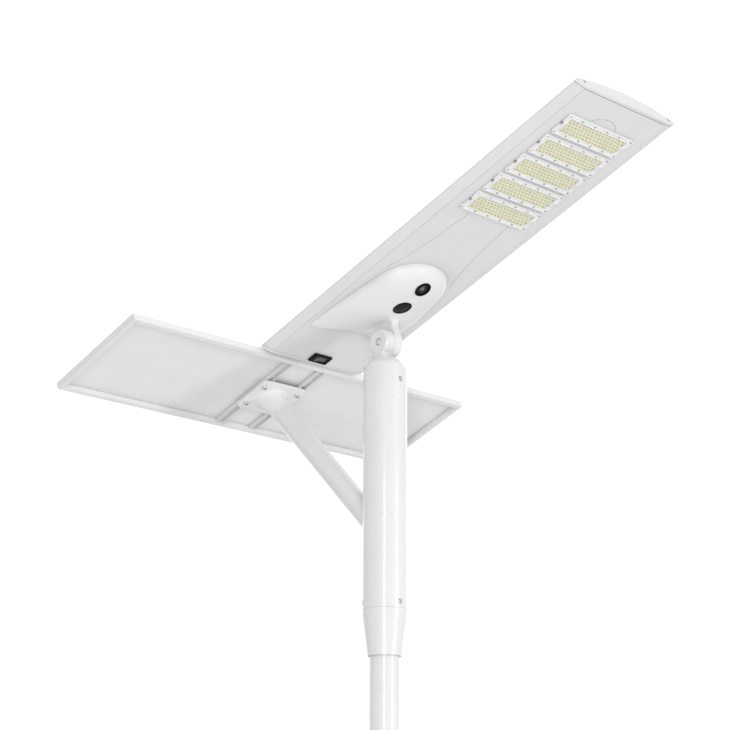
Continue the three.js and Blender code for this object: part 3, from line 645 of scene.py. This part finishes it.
def socket_head(bm, radius, height, recess, key, chamfer=0.6, sides=48):
    """Round head with a socket of half-width key, along +Z, its face at z = height."""
    bore, floor = key * 1.18, height - recess
    profile = [(0, 0), (radius, 0), (radius, height - chamfer), (radius - chamfer, height)]
    lathe(bm, profile + [(bore, height), (bore, floor), (0, floor)], sides)
    prism(bm, circle(key * 1.17, 6), height - recess * 0.98, height - recess * 0.9)


def build_set_screws():
    """Socket set screws, their faces a little inside the sleeve's surface."""
    length, sunk = 15.4, 1.0
    spots = [(angle, z) for z in SET_SCREW_Z for angle in SET_SCREW_ANGLES]
    for number, (angle, z) in enumerate(spots, 1):
        bm = bmesh.new()
        socket_head(bm, SET_SCREW_R - 1.3, length, 3.0, 1.9)
        place = aim(radial(angle, SLEEVE_R - length - sunk, z), radial(angle, 1, 0))
        node = f"set_screw_{number}"
        finish(f"{node}_cup", bm, place, "sleeve", "zinc", [node])


def dome_height(x, y):
    """Height of the dome over a point of its plan."""
    reach = min(1.0, (x * x + y * y) / SLEEVE_R ** 2)
    return DOME_Z + DOME_HEIGHT * sqrt(1 - reach)


def lug_section(grow):
    """Plan outline of the lug's neck, pushed out by grow."""
    cx, half_x = (LUG_X0 + LUG_X1) / 2, (LUG_X1 - LUG_X0) / 2
    outline = rounded_rectangle(half_x + grow, LUG_HALF_Y + grow, LUG_CORNER + grow)
    return [(cx + x, y) for x, y in outline]


def head_dome(bm):
    """Solid dome, hollowed a little from below."""
    base, steps, hollow = DOME_Z + 0.02, 28, 2.0
    profile = [(SLEEVE_R - 6, base + hollow), (SLEEVE_R - 4, base), (SLEEVE_R, base)]
    for i in range(1, steps):
        a = pi / 2 * i / steps
        profile.append((SLEEVE_R * cos(a), base + DOME_HEIGHT * sin(a)))
    lathe(bm, profile + [(0, base + DOME_HEIGHT), (0, base + hollow)], ROUND_SIDES)


def lug_neck(bm):
    """Neck that spreads over the dome in a round fillet, and ends inside the lug's disc."""
    reach, climb, rise = 20.0, 12.0, 14
    rings = []
    for i in range(rise + 1):
        grow = reach * (1 - i / rise) ** 1.4
        lift = climb * (1 - sqrt(max(0.0, 1 - (1 - grow / reach) ** 2)))
        rings.append(add_ring(bm, [(x, y, dome_height(x, y) - 0.15 + lift) for x, y in lug_section(grow)]))
    rings.append(add_ring(bm, [(x, y, HINGE_Z - 28.6) for x, y in lug_section(-0.3)]))
    loft(bm, rings)
    bm.faces.new(rings[0])
    bm.faces.new(rings[-1])


def build_head():
    """Domed casting with the fixed hinge lug growing out of its top."""
    bm = bmesh.new()
    head_dome(bm)
    lug_neck(bm)
    width, edge, dish = LUG_X1 - LUG_X0, 8.0, 1.2
    disc = [(7.2, width), (7.2, 8.6), (10.2, 8.4), (10.2, dish + 0.9), (11.2, dish)]
    disc += [(LUG_R - edge - 5.0, dish), (LUG_R - edge - 1.0, 0.15)]
    disc += arc(LUG_R - edge, edge, edge, 270, 360, 10)
    disc += [(LUG_R, width - 1.2)] + arc(LUG_R - 1.0, width - 1.0, 1.0, 0, 90, 3)
    with moved(bm, turned((LUG_X0, 0, HINGE_Z), 90, "Y")):
        lathe(bm, disc, 96)
    finish("head_casting", bm, WORLD_FRAME, "sleeve", COAT, ["sleeve_head"], 40)


def build_hinge_bolt():
    """Socket head sunk in the lug's face, threaded shank, washer and nut."""
    bm = bmesh.new()
    socket_head(bm, BOLT_HEAD_R - 1.0, 6.6, 2.6, 3.0, 1.2)
    place = turned(Vector((LUG_X0 + 8.5, 0, HINGE_Z)) * MM, -90, "Y")
    finish("hinge_bolt_head", bm, place, "sleeve", "bolt_bright", ["hinge_bolt"])
    bm = bmesh.new()
    lathe(bm, [(0, 0), (5.9, 0), (5.9, 66.5), (5.2, 67.2), (0, 67.2)], 32)
    ridges, first, pitch = 9, 54.5, 1.4
    for k in range(ridges):
        z = first + k * pitch
        lathe(bm, [(5.5, z), (6.0, z + 0.5), (5.5, z + 1.0)], 32)
    place = turned(Vector((LUG_X0 + 8.0, 0, HINGE_Z)) * MM, 90, "Y")
    finish("hinge_bolt_shank", bm, place, "sleeve", "steel")
    refined("hinge_washer", "sleeve", "steel", 0.4)
    refined("hinge_nut", "sleeve", "steel", 0.8)


# ---- arm and mount plate

def arm_point(distance):
    """A point on the arm's axis, by its distance from the pole's axis."""
    step = distance * sqrt(0.5)
    return Vector((0, step, ARM_AXIS_Z + step))


def build_arm():
    """Straight tube, cut to the sleeve's round at its foot, with a bead of weld there."""
    axis = Vector((0, 1, 1)).normalized()
    across = Vector((0, -1, 1)).normalized()
    sides, clearance = 96, 0.1
    foot, inner_foot, end, inner_end = [], [], [], []
    for radius, near, far in ((ARM_R, foot, end), (ARM_R - ARM_WALL, inner_foot, inner_end)):
        for x, v in circle(radius, sides):
            wall = sqrt((SLEEVE_R + clearance) ** 2 - x * x)
            offset = Vector((x, 0, 0)) + across * v
            run = (wall - offset.y) / axis.y
            near.append(Vector((0, 0, ARM_AXIS_Z)) + offset + axis * run)
            far.append(arm_point(NECK_START - GAP) + offset)
    bm = bmesh.new()
    loft(bm, [add_ring(bm, points) for points in (foot, end, inner_end, inner_foot)], looped=True)
    finish("arm_tube", bm, WORLD_FRAME, "sleeve", COAT, ["panel_arm"])
    weld_bead("arm_foot_weld", foot, axis, 3.6)


def weld_bead(name, path, axis, size):
    """Fillet weld along a closed path: a rounded bead with the ripples of its passes."""
    bm = bmesh.new()
    section = 8
    rings = []
    for i, centre in enumerate(path):
        along = (path[(i + 1) % len(path)] - path[i - 1]).normalized()
        side = along.cross(axis).normalized()
        lift = side.cross(along).normalized()
        radius = size * (1 + 0.07 * sin(i * 2.1) + 0.04 * sin(i * 0.9))
        rings.append(add_ring(bm, [centre + side * u * 0.8 + lift * v for u, v in circle(radius, section)]))
    loft(bm, rings, looped=True)
    finish(name, bm, WORLD_FRAME, "sleeve", COAT, smooth=80)


def neck_rings():
    """Rings of the neck in the panel's frame, from the arm's end to the plate, turning and widening."""
    steps, sides = 24, 96
    foot = in_mm(PANEL_FRAME).inverted() @ arm_point(NECK_START)
    top = Vector((0, 0.8, PLATE_Z0 + 0.4))
    axis = top - foot
    length = axis.length
    axis.normalize()
    rings = []
    for i in range(steps + 1):
        t = sin(i / steps * pi / 2)
        normal = axis.lerp(Vector((0, 0, 1)), t * t).normalized()
        side = Vector((1, 0, 0))
        across = normal.cross(side)
        centre = foot + axis * length * t
        radius = ARM_R + NECK_FLARE * (1 - sqrt(max(0.0, 1 - t ** 2.4)))
        rings.append([centre + side * u + across * v for u, v in circle(radius, sides)])
    return rings


def build_mount():
    """Plate across the rails, and the neck that carries it."""
    bm = bmesh.new()
    prism(bm, rounded_rectangle(PLATE_X, PLATE_Y, 16, 10), PLATE_Z0, PLATE_Z1)
    finish("arm_plate", bm, PANEL_FRAME, "sleeve", "plate_white", bevel=1.4, segments=4)
    bm = bmesh.new()
    path = neck_rings()
    rings = [add_ring(bm, ring) for ring in path]
    loft(bm, rings)
    bm.faces.new(rings[-1])
    bm.faces.new(rings[0])
    finish("arm_neck", bm, PANEL_FRAME, "sleeve", "plate_white", ["mount_plate"])
    seam = [in_mm(PANEL_FRAME) @ point for point in path[0]]
    weld_bead("arm_neck_weld", seam, Vector((0, 1, 1)).normalized(), 1.2)


def build_bolts():
    """Round bolt heads with six-sided sockets, each on a washer."""
    spots = [(x, y) for x in (-BOLT_X, BOLT_X) for y in (-BOLT_Y, BOLT_Y)]
    for number, (x, y) in enumerate(spots, 1):
        node = f"rail_bolt_{number}"
        place = PANEL_FRAME @ aim(Vector((x, y, PLATE_Z0 + 0.2)) * MM, (0, 0, -1))
        bm = bmesh.new()
        socket_head(bm, 6.9, 6.0, 3.6, 3.7, 1.4)
        lathe(bm, [(0, 0.1), (8.6, 0.1), (8.6, 0.9), (8.1, 1.4), (0, 1.4)], 48)
        finish(f"{node}_head", bm, place, "sleeve", "zinc", [node], 30)
        bm = bmesh.new()
        prism(bm, circle(4.1, 6), 2.3, 3.2)
        finish(f"{node}_socket", bm, place, "sleeve", "screw_grey")


# ---- lantern shell

def crown_points(half, drop=0.0):
    """The arched top from x = half to x = -half, drop lower than the outside."""
    steps = 56
    across = [half * (1 - 2 * i / steps) for i in range(steps + 1)]
    return [(x, CROWN - drop - (CROWN - EDGE_TOP) * (x / CROWN_HALF) ** 2) for x in across]


def shell_outline():
    """Section of the lantern, as (x, height over the underside)."""
    edge = [(UNDERSIDE_HALF, 0), (HALF_WIDTH, EDGE_RISE), (HALF_WIDTH, 13.5), (HALF_WIDTH - 0.7, 15.6)]
    return edge + crown_points(CROWN_HALF) + [(-x, z) for x, z in reversed(edge)]


def lengthwise(bm, section, y0, y1):
    """Prism over an (x, height) section, running along the lantern from y0 to y1."""
    raised = [(x, z + UNDERSIDE) for x, z in section]
    return prism(bm, raised, -y1, -y0, Matrix.Rotation(radians(90), 4, "X"))


def build_housing():
    """Arched extrusion with its inner ledges and screw ports."""
    shelf, ledge_x, wall_x = BASE_PLATE + GAP, 138, 180.5
    ledge = [(UNDERSIDE_HALF, shelf), (ledge_x, shelf), (ledge_x, shelf + SHELL), (163, shelf + SHELL)]
    ledge += [(wall_x, 11.2), (wall_x, 13.5)]
    cavity = [(-x, z) for x, z in ledge] + crown_points(178, SHELL)[::-1] + ledge[::-1]
    y0, y1 = TIP_Y + CAP_THICKNESS + GAP, REAR_Y - CAP_THICKNESS - GAP
    bm = bmesh.new()
    lengthwise(bm, shell_outline() + cavity, y0, y1)
    for side in (-1, 1):
        lengthwise(bm, circle(5.0, 20, side * PORT_X, PORT_Z), y0 + 0.2, y1 - 0.2)
    finish("housing_extrusion", bm, HINGE_FRAME, "lamp", PAINT, ["top_housing"], 30, 0.9, 3)


def build_cap_screw(name, seat, outward, holes):
    """Hex-socket screw head at its seat in a cap, its counterbore added to the holes."""
    with moved(holes, aim(seat, outward)):
        lathe(holes, [(0, -4.2), (4.9, -4.2), (4.9, -0.6), (5.6, 0.1), (5.6, 6), (0, 6)], 32)
    bm = bmesh.new()
    socket_head(bm, 4.4, 3.3, 1.9, 1.9, 0.5, 32)
    place = HINGE_FRAME @ aim((seat - outward * 3.9) * MM, outward)
    finish(f"{name}_head", bm, place, "lamp", "steel", [name])


def build_caps():
    """Cast end plates, the seal behind each one, and their screws."""
    for name, face, inward in (("tip", TIP_Y, 1), ("rear", REAR_Y, -1)):
        inner = face + inward * CAP_THICKNESS
        bm = bmesh.new()
        lengthwise(bm, shell_outline(), min(face, inner), max(face, inner))
        node = f"{name}_cap"
        cap = finish(f"{node}_plate", bm, HINGE_FRAME, "lamp", PAINT, [node], 30, 1.6, 4)
        bm = bmesh.new()
        section = [(x * 0.9965, z * 0.97 + 0.4) for x, z in shell_outline()]
        lengthwise(bm, section, *sorted((inner - inward * 2.0, inner + inward * 1.1)))
        finish(f"{node}_seal", bm, HINGE_FRAME, "lamp", "seal_grey")
        holes = bmesh.new()
        for number, side in ((1, -1), (2, 1)):
            seat = Vector((side * PORT_X, face, UNDERSIDE + PORT_Z))
            build_cap_screw(f"{node}_screw_{number}", seat, Vector((0, -inward, 0)), holes)
        bmesh.ops.transform(holes, matrix=in_mm(HINGE_FRAME), verts=holes.verts)
        apply_cut(cap, holes)


def dotted_path():
    """Teardrop that starts beside the boss's nose and closes round the tip end, as evenly spaced points."""
    pitch, step, start, centre, radius = 8.0, 0.5, -166.0, -794.7, 60.0
    spread, spread_y, fade = 54.0, -175.0, 171.0

    def half_width(y):
        return radius + spread * exp((y - spread_y) / fade)

    points, along, y = [], 0.0, start
    while y > centre:
        x = half_width(y)
        along += hypot(step, x - half_width(y - step))
        if along >= pitch:
            along -= pitch
            points += [(x, y), (-x, y)]
        y -= step
    count = round(pi * radius / pitch)
    for i in range(count + 1):
        a = pi * i / count
        points.append((radius * cos(a), centre - radius * sin(a)))
    return points


def build_base_plate():
    """Flat plate of the underside, with its pressed dots and the switch's hole."""
    bm = bmesh.new()
    half = UNDERSIDE_HALF - GAP
    y0, y1 = TIP_Y + CAP_THICKNESS + 2 * GAP, REAR_Y - CAP_THICKNESS - 2 * GAP
    prism(bm, [(half, y1), (-half, y1), (-half, y0), (half, y0)], UNDERSIDE, UNDERSIDE + BASE_PLATE)
    looks = [PAINT, "dimple"]
    plate = finish("underside_sheet", bm, HINGE_FRAME, "lamp", looks, ["base_plate"], 30)
    covered = (module_y(MODULE_COUNT - 1) - MODULE_Y / 2, module_y(0) + MODULE_Y / 2)
    cutter = bmesh.new()
    dot = [(0, -2), (1.9, -2), (1.6, 0.2), (0.9, 1.1), (0, 1.1)]
    for x, y in dotted_path():
        if not covered[0] < y < covered[1]:
            lathe(cutter, dot, 12, (x, y, UNDERSIDE))
    switch_hole = rounded_rectangle(23.5, 11.5, 1, 2)
    prism(cutter, switch_hole, UNDERSIDE - 4, UNDERSIDE + 8, Matrix.Translation((0, SWITCH_Y, 0)))
    bmesh.ops.transform(cutter, matrix=in_mm(HINGE_FRAME), verts=cutter.verts)
    apply_cut(plate, cutter, "dimple")


# ---- LED modules

def module_y(k):
    """Middle of a module along the lantern."""
    return MODULE_FIRST - k * MODULE_PITCH


def notched_outline(inset, notch):
    """Rounded rectangle of a module, with a round notch in each short end."""
    half_x, half_y, radius = MODULE_X / 2 - inset, MODULE_Y / 2 - inset, 6.0 - inset * 0.8
    corners = rounded_rectangle(half_x, half_y, max(radius, 1.2), 6)
    left = arc(-MODULE_X / 2, 0, notch + inset, 72, -72, 8)
    right = [(-x, -y) for x, y in left]
    half = len(corners) // 2
    return corners[:half] + left + corners[half:] + right


def ring_plate(bm, outer, inner, low, high):
    """Flat ring between two outlines, from z = low to z = high."""
    walls = [[add_ring(bm, [(*p, z) for p in outline]) for z in (low, high)] for outline in (outer, inner)]
    for bottom, top in walls:
        bridge(bm, bottom, top)
    for level in zip(*walls):
        edges = [bm.edges.get((loop[i], loop[i - 1])) for loop in level for i in range(len(loop))]
        bmesh.ops.triangle_fill(bm, use_beauty=True, edges=edges)


def chip_centres():
    """LED chips of one module: staggered rows, in module coordinates."""
    columns, rows, pitch_x, pitch_y = 17, 5, 12.1, 9.9
    centres = []
    for row in range(rows):
        shift = pitch_x / 4 if row % 2 else -pitch_x / 4
        for column in range(columns):
            x = (column - (columns - 1) / 2) * pitch_x + shift
            centres.append((x, (row - (rows - 1) / 2) * pitch_y))
    return centres


def module_screws():
    """(x, y, depth, radius) of one module's screws: small ones in its frame, larger ones in its notches."""
    small = [(x, y, 3.9, 2.3) for x in (-112.5, -68.4, -22.8, 22.8, 68.4, 112.5) for y in (-29.2, 29.2)]
    return small + [(side * 114.6, 0, 0.4, 3.0) for side in (-1, 1)]


def inner_plate(inset, radius, steps=4):
    """Outline of a part that fits inside a module's window."""
    return rounded_rectangle(WINDOW_X / 2 - inset, WINDOW_Y / 2 - inset, radius, steps)


def module_frame(k, place):
    """Moulded frame with a raised rim outside and round its window."""
    window = inner_plate(0, 2.0)
    lip = rounded_rectangle(WINDOW_X / 2 + 2.6, WINDOW_Y / 2 + 2.4, 3.6, 5)
    bm = bmesh.new()
    ring_plate(bm, notched_outline(0, 7), window, -4.4, -GAP)
    ring_plate(bm, notched_outline(0.05, 7), notched_outline(2.6, 7.6), -MODULE_DEPTH, -4.2)
    ring_plate(bm, lip, window, -6.2, -4.2)
    node = f"led_frame_{k}"
    finish(f"{node}_moulding", bm, place, "lamp", "module_white", [node], 30, 0.5, 2)


def module_fasteners(k, place):
    """The module's screws, heads down."""
    bm = bmesh.new()
    for x, y, depth, radius in module_screws():
        with moved(bm, turned((x, y, -depth), 180, "X")):
            socket_head(bm, radius, 2.2, 1.3, radius * 0.5, 0.5, 20)
    finish(f"led_screws_{k}", bm, place, "lamp", "screw_grey")


def module_board(k, place):
    """Board with the bodies of its LED chips, and their yellow faces."""
    bm = bmesh.new()
    prism(bm, inner_plate(0.5, 1.6), -1.9, -0.4)
    for x, y in chip_centres():
        prism(bm, rounded_rectangle(4.0, 4.0, 0.5, 2), -2.6, -1.8, Matrix.Translation((x, y, 0)))
    node = f"led_board_{k}"
    finish(f"{node}_populated", bm, place, "lamp", "led_board", [node], 30, 0.15, 1)
    bm = bmesh.new()
    for x, y in chip_centres():
        prism(bm, rounded_rectangle(3.35, 3.35, 1.1, 3), -2.95, -2.55, Matrix.Translation((x, y, 0)))
    finish(f"led_chips_{k}", bm, place, "lamp", "phosphor")


def module_lens(k, place):
    """Clear plate with a dome over every chip."""
    bm = bmesh.new()
    prism(bm, inner_plate(0.3, 1.8), -4.5, -3.2)
    steps, radius, height, base = 6, 4.7, 1.9, -4.4
    angles = [pi / 2 * i / steps for i in range(steps)]
    dome = [(0, base)] + [(radius * cos(a), base - height * sin(a)) for a in angles]
    for x, y in chip_centres():
        lathe(bm, dome + [(0, base - height)], 20, (x, y, 0))
    node = f"led_lens_{k}"
    finish(f"{node}_domed", bm, place, "lamp", "lens_clear", [node], 30)


# ---- teardrop boss, ear, camera and sensor

def boss_half(y):
    """Half width of the boss: round nose, widening to the tail."""
    if y < BOSS_NOSE_CENTRE_Y:
        reach = min(1.0, (BOSS_NOSE_CENTRE_Y - y) / (BOSS_NOSE_CENTRE_Y - BOSS_NOSE_Y))
        return BOSS_NOSE_HALF * sqrt(1 - reach ** 2)
    t = (y - BOSS_NOSE_CENTRE_Y) / (BOSS_TAIL_Y - BOSS_NOSE_CENTRE_Y)
    return BOSS_NOSE_HALF + (BOSS_TAIL_HALF - BOSS_NOSE_HALF) * sin(t * pi / 2)


def boss_depth(y):
    """Depth of the boss along its centre line: domed nose, level middle, sloping tail."""
    if y < BOSS_LEVEL_Y:
        reach = min(1.0, (BOSS_LEVEL_Y - y) / (BOSS_LEVEL_Y - BOSS_NOSE_Y))
        return BOSS_DEPTH * sqrt(1 - reach ** 4)
    run, bend = y - BOSS_LEVEL_Y, 50.0
    fall = run ** 2 / (2 * bend) if run < bend else run - bend / 2
    return BOSS_DEPTH - BOSS_TAIL_SLOPE * fall


def boss_skin(bm):
    """Closed solid of the boss, from its nose to past its tail."""
    stations, across, foot = 84, 84, 6.0
    rings = []
    for i in range(stations + 1):
        t = 1 - cos(i / stations * pi / 2)
        y = BOSS_NOSE_Y + 0.4 + (BOSS_TAIL_Y + 5.6 - BOSS_NOSE_Y) * t
        half, depth = boss_half(y), boss_depth(y)
        ring = []
        for j in range(across + 1):
            c = cos(pi * j / across)
            ring.append((half * c, y, UNDERSIDE - GAP - depth * sqrt(max(0.0, 1 - abs(c) ** 2.6))))
        rings.append(add_ring(bm, ring + [(-half, y, UNDERSIDE + foot), (half, y, UNDERSIDE + foot)]))
    loft(bm, rings)
    bm.faces.new(rings[0])
    bm.faces.new(rings[-1])


def ear_outline():
    """Side view of the ear with the pole upright: round about the hinge, widening along the boss's tail."""
    front = [(-28, 80), (-21, 70), (-18.9, 62), (-18.9, 54), (-21, 45), (-26, 33), (-31, 20), (-34.3, 6)]
    rear = [(35, 4), (37, 16), (45, 30), (60, 42), (90, 53), (80, 72), (0, 84)]
    return front + arc(0, 0, EAR_R, 195, 350, 36) + rear


def soften(mesh, weight, rounds):
    """Evens out the mesh by moving each point towards its neighbours, as far as its weight says."""
    count = len(mesh.vertices)
    points = np.empty(count * 3)
    mesh.vertices.foreach_get("co", points)
    points = points.reshape(-1, 3)
    edges = np.empty(len(mesh.edges) * 2, dtype=np.int64)
    mesh.edges.foreach_get("vertices", edges)
    a, b = edges.reshape(-1, 2).T
    degree = np.bincount(a, minlength=count) + np.bincount(b, minlength=count)
    amount = weight(points)[:, None]
    for _ in range(rounds):
        total = np.empty_like(points)
        for axis in range(3):
            total[:, axis] = np.bincount(a, points[b, axis], count) + np.bincount(b, points[a, axis], count)
        points += amount * 0.5 * (total / degree[:, None] - points)
    mesh.vertices.foreach_set("co", points.ravel())
    mesh.update()


def root_weight(points):
    """1 along the line where the ear grows out of the boss, falling to a tenth away from it."""
    x, y, z = points.T
    surface = UNDERSIDE - BOSS_DEPTH + BOSS_TAIL_SLOPE * np.clip(y - BOSS_LEVEL_Y - 25, 0, None)
    aside = np.maximum(np.maximum(EAR_X0 - x, x - EAR_X1), 0)
    reach = np.hypot(z - surface, aside)
    near = np.clip(1.25 - reach / 15, 0, 1)
    return 0.45 + 0.55 * near * near * (3 - 2 * near)


def fused(bm, voxel):
    """The bmesh's overlapping solids as one closed mesh."""
    bmesh.ops.recalc_face_normals(bm, faces=bm.faces)
    rough = bpy.data.meshes.new("boss_rough")
    bm.to_mesh(rough)
    bm.free()
    holder = new_object("boss_rough", rough)
    modifier = holder.modifiers.new("fuse", "REMESH")
    modifier.mode, modifier.voxel_size, modifier.adaptivity = "VOXEL", voxel, 0.0
    mesh = evaluated_mesh(holder)
    bpy.data.objects.remove(holder)
    return mesh


def boss_cutter():
    """What is cut from the boss: its wavy tail edge, the two round openings and the bolt's hole."""
    steps, wide, edge = 48, 220, BOSS_TAIL_Y - 20
    notch = BOSS_TAIL_Y - BOSS_NOTCH_Y
    across = [BOSS_TAIL_HALF * (2 * i / steps - 1) for i in range(steps + 1)]
    tail = [(x, BOSS_NOTCH_Y + notch * (1 - cos(x / BOSS_TAIL_HALF * pi)) / 2) for x in across]
    cutter = bmesh.new()
    prism(cutter, [(-wide, edge)] + tail + [(wide, edge), (wide, 260), (-wide, 260)], -40, UNDERSIDE + 30)
    for place, radius in ((camera_place(), CAMERA_R), (sensor_place(), SENSOR_R)):
        with moved(cutter, place):
            lathe(cutter, [(0, -30), (radius + 2.6, -30), (radius + 2.6, 14), (0, 14)], 96)
    with moved(cutter, turned((0, 0, 0), 90, "Y")):
        lathe(cutter, [(0, -2), (6.5, -2), (6.5, 42), (0, 42)], 32)
    bmesh.ops.transform(cutter, matrix=in_mm(HINGE_FRAME), verts=cutter.verts)
    return cutter


def build_boss():
    """Smooth boss and ear in one casting: both solids fused, the root rounded, then cut to fit."""
    bm = bmesh.new()
    boss_skin(bm)
    lay = Matrix(((0, 0, 1, 0), (1, 0, 0, 0), (0, 1, 0, 0), (0, 0, 0, 1)))
    with moved(bm, Matrix.Rotation(TILT, 4, "X") @ lay):
        prism(bm, ear_outline(), EAR_X0, EAR_X1)
    casting = fused(bm, 1.7)
    soften(casting, root_weight, 36)
    bm = bmesh.new()
    bm.from_mesh(casting)
    everything = bm.verts[:] + bm.edges[:] + bm.faces[:]
    level, up = (0, 0, UNDERSIDE - GAP), (0, 0, 1)
    cut = bmesh.ops.bisect_plane(bm, geom=everything, plane_co=level, plane_no=up, clear_outer=True)
    rim = [e for e in cut["geom_cut"] if isinstance(e, bmesh.types.BMEdge)]
    bmesh.ops.edgeloop_fill(bm, edges=rim)
    boss = finish("boss_casting", bm, HINGE_FRAME, "lamp", "boss_white", ["hinge_boss"], 40)
    apply_cut(boss, boss_cutter())


def camera_place():
    """Frame at the centre of the camera's front, in millimetres, its +Z going into the boss."""
    return Matrix.Translation((0, CAMERA_Y, CAMERA_Z)) @ Matrix.Rotation(-CAMERA_TILT, 4, "X")


def sensor_place():
    """Frame at the centre of the sensor's front, in millimetres."""
    return Matrix.Translation((0, SENSOR_Y, SENSOR_Z))


def trim_ring(bm, radius, depth):
    """Rounded white ring that fills the joint between a round insert and the boss."""
    lip = arc(radius + 1.35, 0.1, 1.15, 180, 360, 8)
    lathe(bm, [(radius + 0.2, depth), (radius + 0.2, 0.2)] + lip + [(radius + 2.5, depth)])


def build_camera():
    """Black barrel with a grey ring and a domed front element, in its white trim."""
    place = HINGE_FRAME @ in_metres(camera_place())
    bm = bmesh.new()
    trim_ring(bm, CAMERA_R, 13)
    finish("camera_trim", bm, place, "lamp", "rim_white")
    bm = bmesh.new()
    r = CAMERA_R
    barrel = [(0, 20), (0, 9), (11.8, 9), (11.8, 3.0), (r - 3.4, 2.4), (r - 2.6, 0.6)]
    barrel += arc(r - 1.2, 0.6, 1.2, 180, 360, 6)
    lathe(bm, barrel + [(r, 13), (r - 5, 13.5), (r - 5, 20)])
    finish("camera_barrel", bm, place, "lamp", "black_plastic", ["camera_body"])
    bm = bmesh.new()
    ring = [(0, 8.8), (11.5, 8.8), (11.5, 1.6), (10.6, 0.8), (8.6, 0.8), (7.6, 3.2), (7.6, 6.0), (0, 6.0)]
    lathe(bm, ring, 64)
    finish("camera_lens_ring", bm, place, "lamp", "lens_ring")
    bm = bmesh.new()
    steps, radius, rim, height = 10, 7.4, 4.4, 3.6
    angles = [pi / 2 * i / steps for i in range(steps)]
    dome = [(radius * cos(a), rim - height * sin(a)) for a in angles]
    lathe(bm, [(0, 5.9), (radius, 5.9)] + dome + [(0, 0.8)], 64)
    finish("camera_front_element", bm, place, "lamp", "camera_glass", ["camera_lens"])


def build_sensor():
    """Black window with the fine rings of a Fresnel lens, in its white trim."""
    place = HINGE_FRAME @ in_metres(sensor_place())
    bm = bmesh.new()
    trim_ring(bm, SENSOR_R, 12)
    finish("sensor_trim", bm, place, "lamp", "rim_white")
    bm = bmesh.new()
    r, reach = SENSOR_R, SENSOR_R - 2.8
    profile = [(0, 16), (r - 6, 16), (r - 6, 4), (r, 4)]
    profile += arc(r - 1.0, 0.4, 1.0, 0, -180, 6) + [(r - 2.4, 1.2)]
    steps, rim, bulge, groove = 22, 0.9, 2.6, 0.22
    for i in range(steps):
        radius = reach * (1 - i / steps)
        profile.append((radius, rim - bulge * (1 - (radius / reach) ** 2) + (groove if i % 2 else 0)))
    lathe(bm, profile + [(0, rim - bulge)])
    finish("sensor_lens", bm, place, "lamp", "sensor_black", ["sensor_window"], 50)


# ---- solar panel

def build_cells():
    """Two rows of seven cells with their ribbons, between the backsheet and the glass."""
    columns, pitch, half, corner, low = 7, 158.0, 78.0, 9.0, 15.0
    cell = []
    for sx, sy in ((1, 1), (-1, 1), (-1, -1), (1, -1)):
        pair = [(sx * half, sy * (half - corner)), (sx * (half - corner), sy * half)]
        cell += pair if sx * sy > 0 else pair[::-1]
    bm = bmesh.new()
    for row in (-1, 1):
        for column in range(columns):
            spot = ((column - (columns - 1) / 2) * pitch, row * pitch / 2, 0)
            prism(bm, cell, low, low + 0.22, Matrix.Translation(spot))
    finish("cell_matrix", bm, PANEL_FRAME, "sleeve", "solar_cell", ["solar_cells"])
    bm = bmesh.new()
    end, ribbon_pitch = columns * pitch / 2 + 4, 31.2
    ribbon, collector = rounded_rectangle(end, 0.8, 0.3, 1), rounded_rectangle(2.5, 148, 0.4, 1)
    for row in (-1, 1):
        for line in (-2, -1, 0, 1, 2):
            y = row * pitch / 2 + line * ribbon_pitch
            prism(bm, ribbon, low + 0.2, low + 0.36, Matrix.Translation((0, y, 0)))
    for side in (-1, 1):
        prism(bm, collector, low, low + 0.3, Matrix.Translation((side * (end + 2), 0, 0)))
    finish("cell_ribbons", bm, PANEL_FRAME, "sleeve", "silver")


# ---- assembly

forward_axis, level_axis = make_camera()
back_axis = Vector((-forward_axis.x, -forward_axis.y, 0))
make_world([
    (forward_axis, 0.55, 0.9, LOBE_WINDOW),
    (level_axis, -0.2, 1.0, LOBE_RIGHT),
    (-level_axis, -0.2, 1.0, LOBE_LEFT),
    (back_axis, -0.2, 1.0, LOBE_BACK),
    (Vector((0, 0, 1)), 0.0, 1.0, LOBE_UP),
])
make_lights(forward_axis)
make_floor()
bpy.context.scene.view_settings.view_transform = "Standard"

build_pole()
build_collar()
build_sleeve()
build_set_screws()
build_head()
build_hinge_bolt()
build_arm()
build_mount()
build_bolts()
build_housing()
build_caps()
build_base_plate()
for module in range(MODULE_COUNT):
    spot = HINGE_FRAME @ Matrix.Translation((0, module_y(module) * MM, UNDERSIDE * MM))
    module_frame(module + 1, spot)
    module_fasteners(module + 1, spot)
    module_board(module + 1, spot)
    module_lens(module + 1, spot)
build_boss()
build_camera()
build_sensor()
build_cells()

SLOT_OF = {row["node"]: row["material_slot"] for row in frame["record"]["subparts"]}
BODY_OF = {node: body for body, nodes in frame["record"]["behaviour"]["bodies"].items() for node in nodes}
shown = [name for name, node in frame["nodes"].items() if not node.hide_render]
for name in shown:
    if SLOT_OF[name] in ("panel_glass", "lens_clear"):
        frame["nodes"][name].data.materials.clear()
        frame["nodes"][name].data.materials.append(MATERIALS[SLOT_OF[name]])
        continue
    look = "rail_white" if name.startswith("panel_rail") else SLOT_OF[name]
    refined(name, BODY_OF[name], look, 0.5)

bpy.context.view_layer.update()
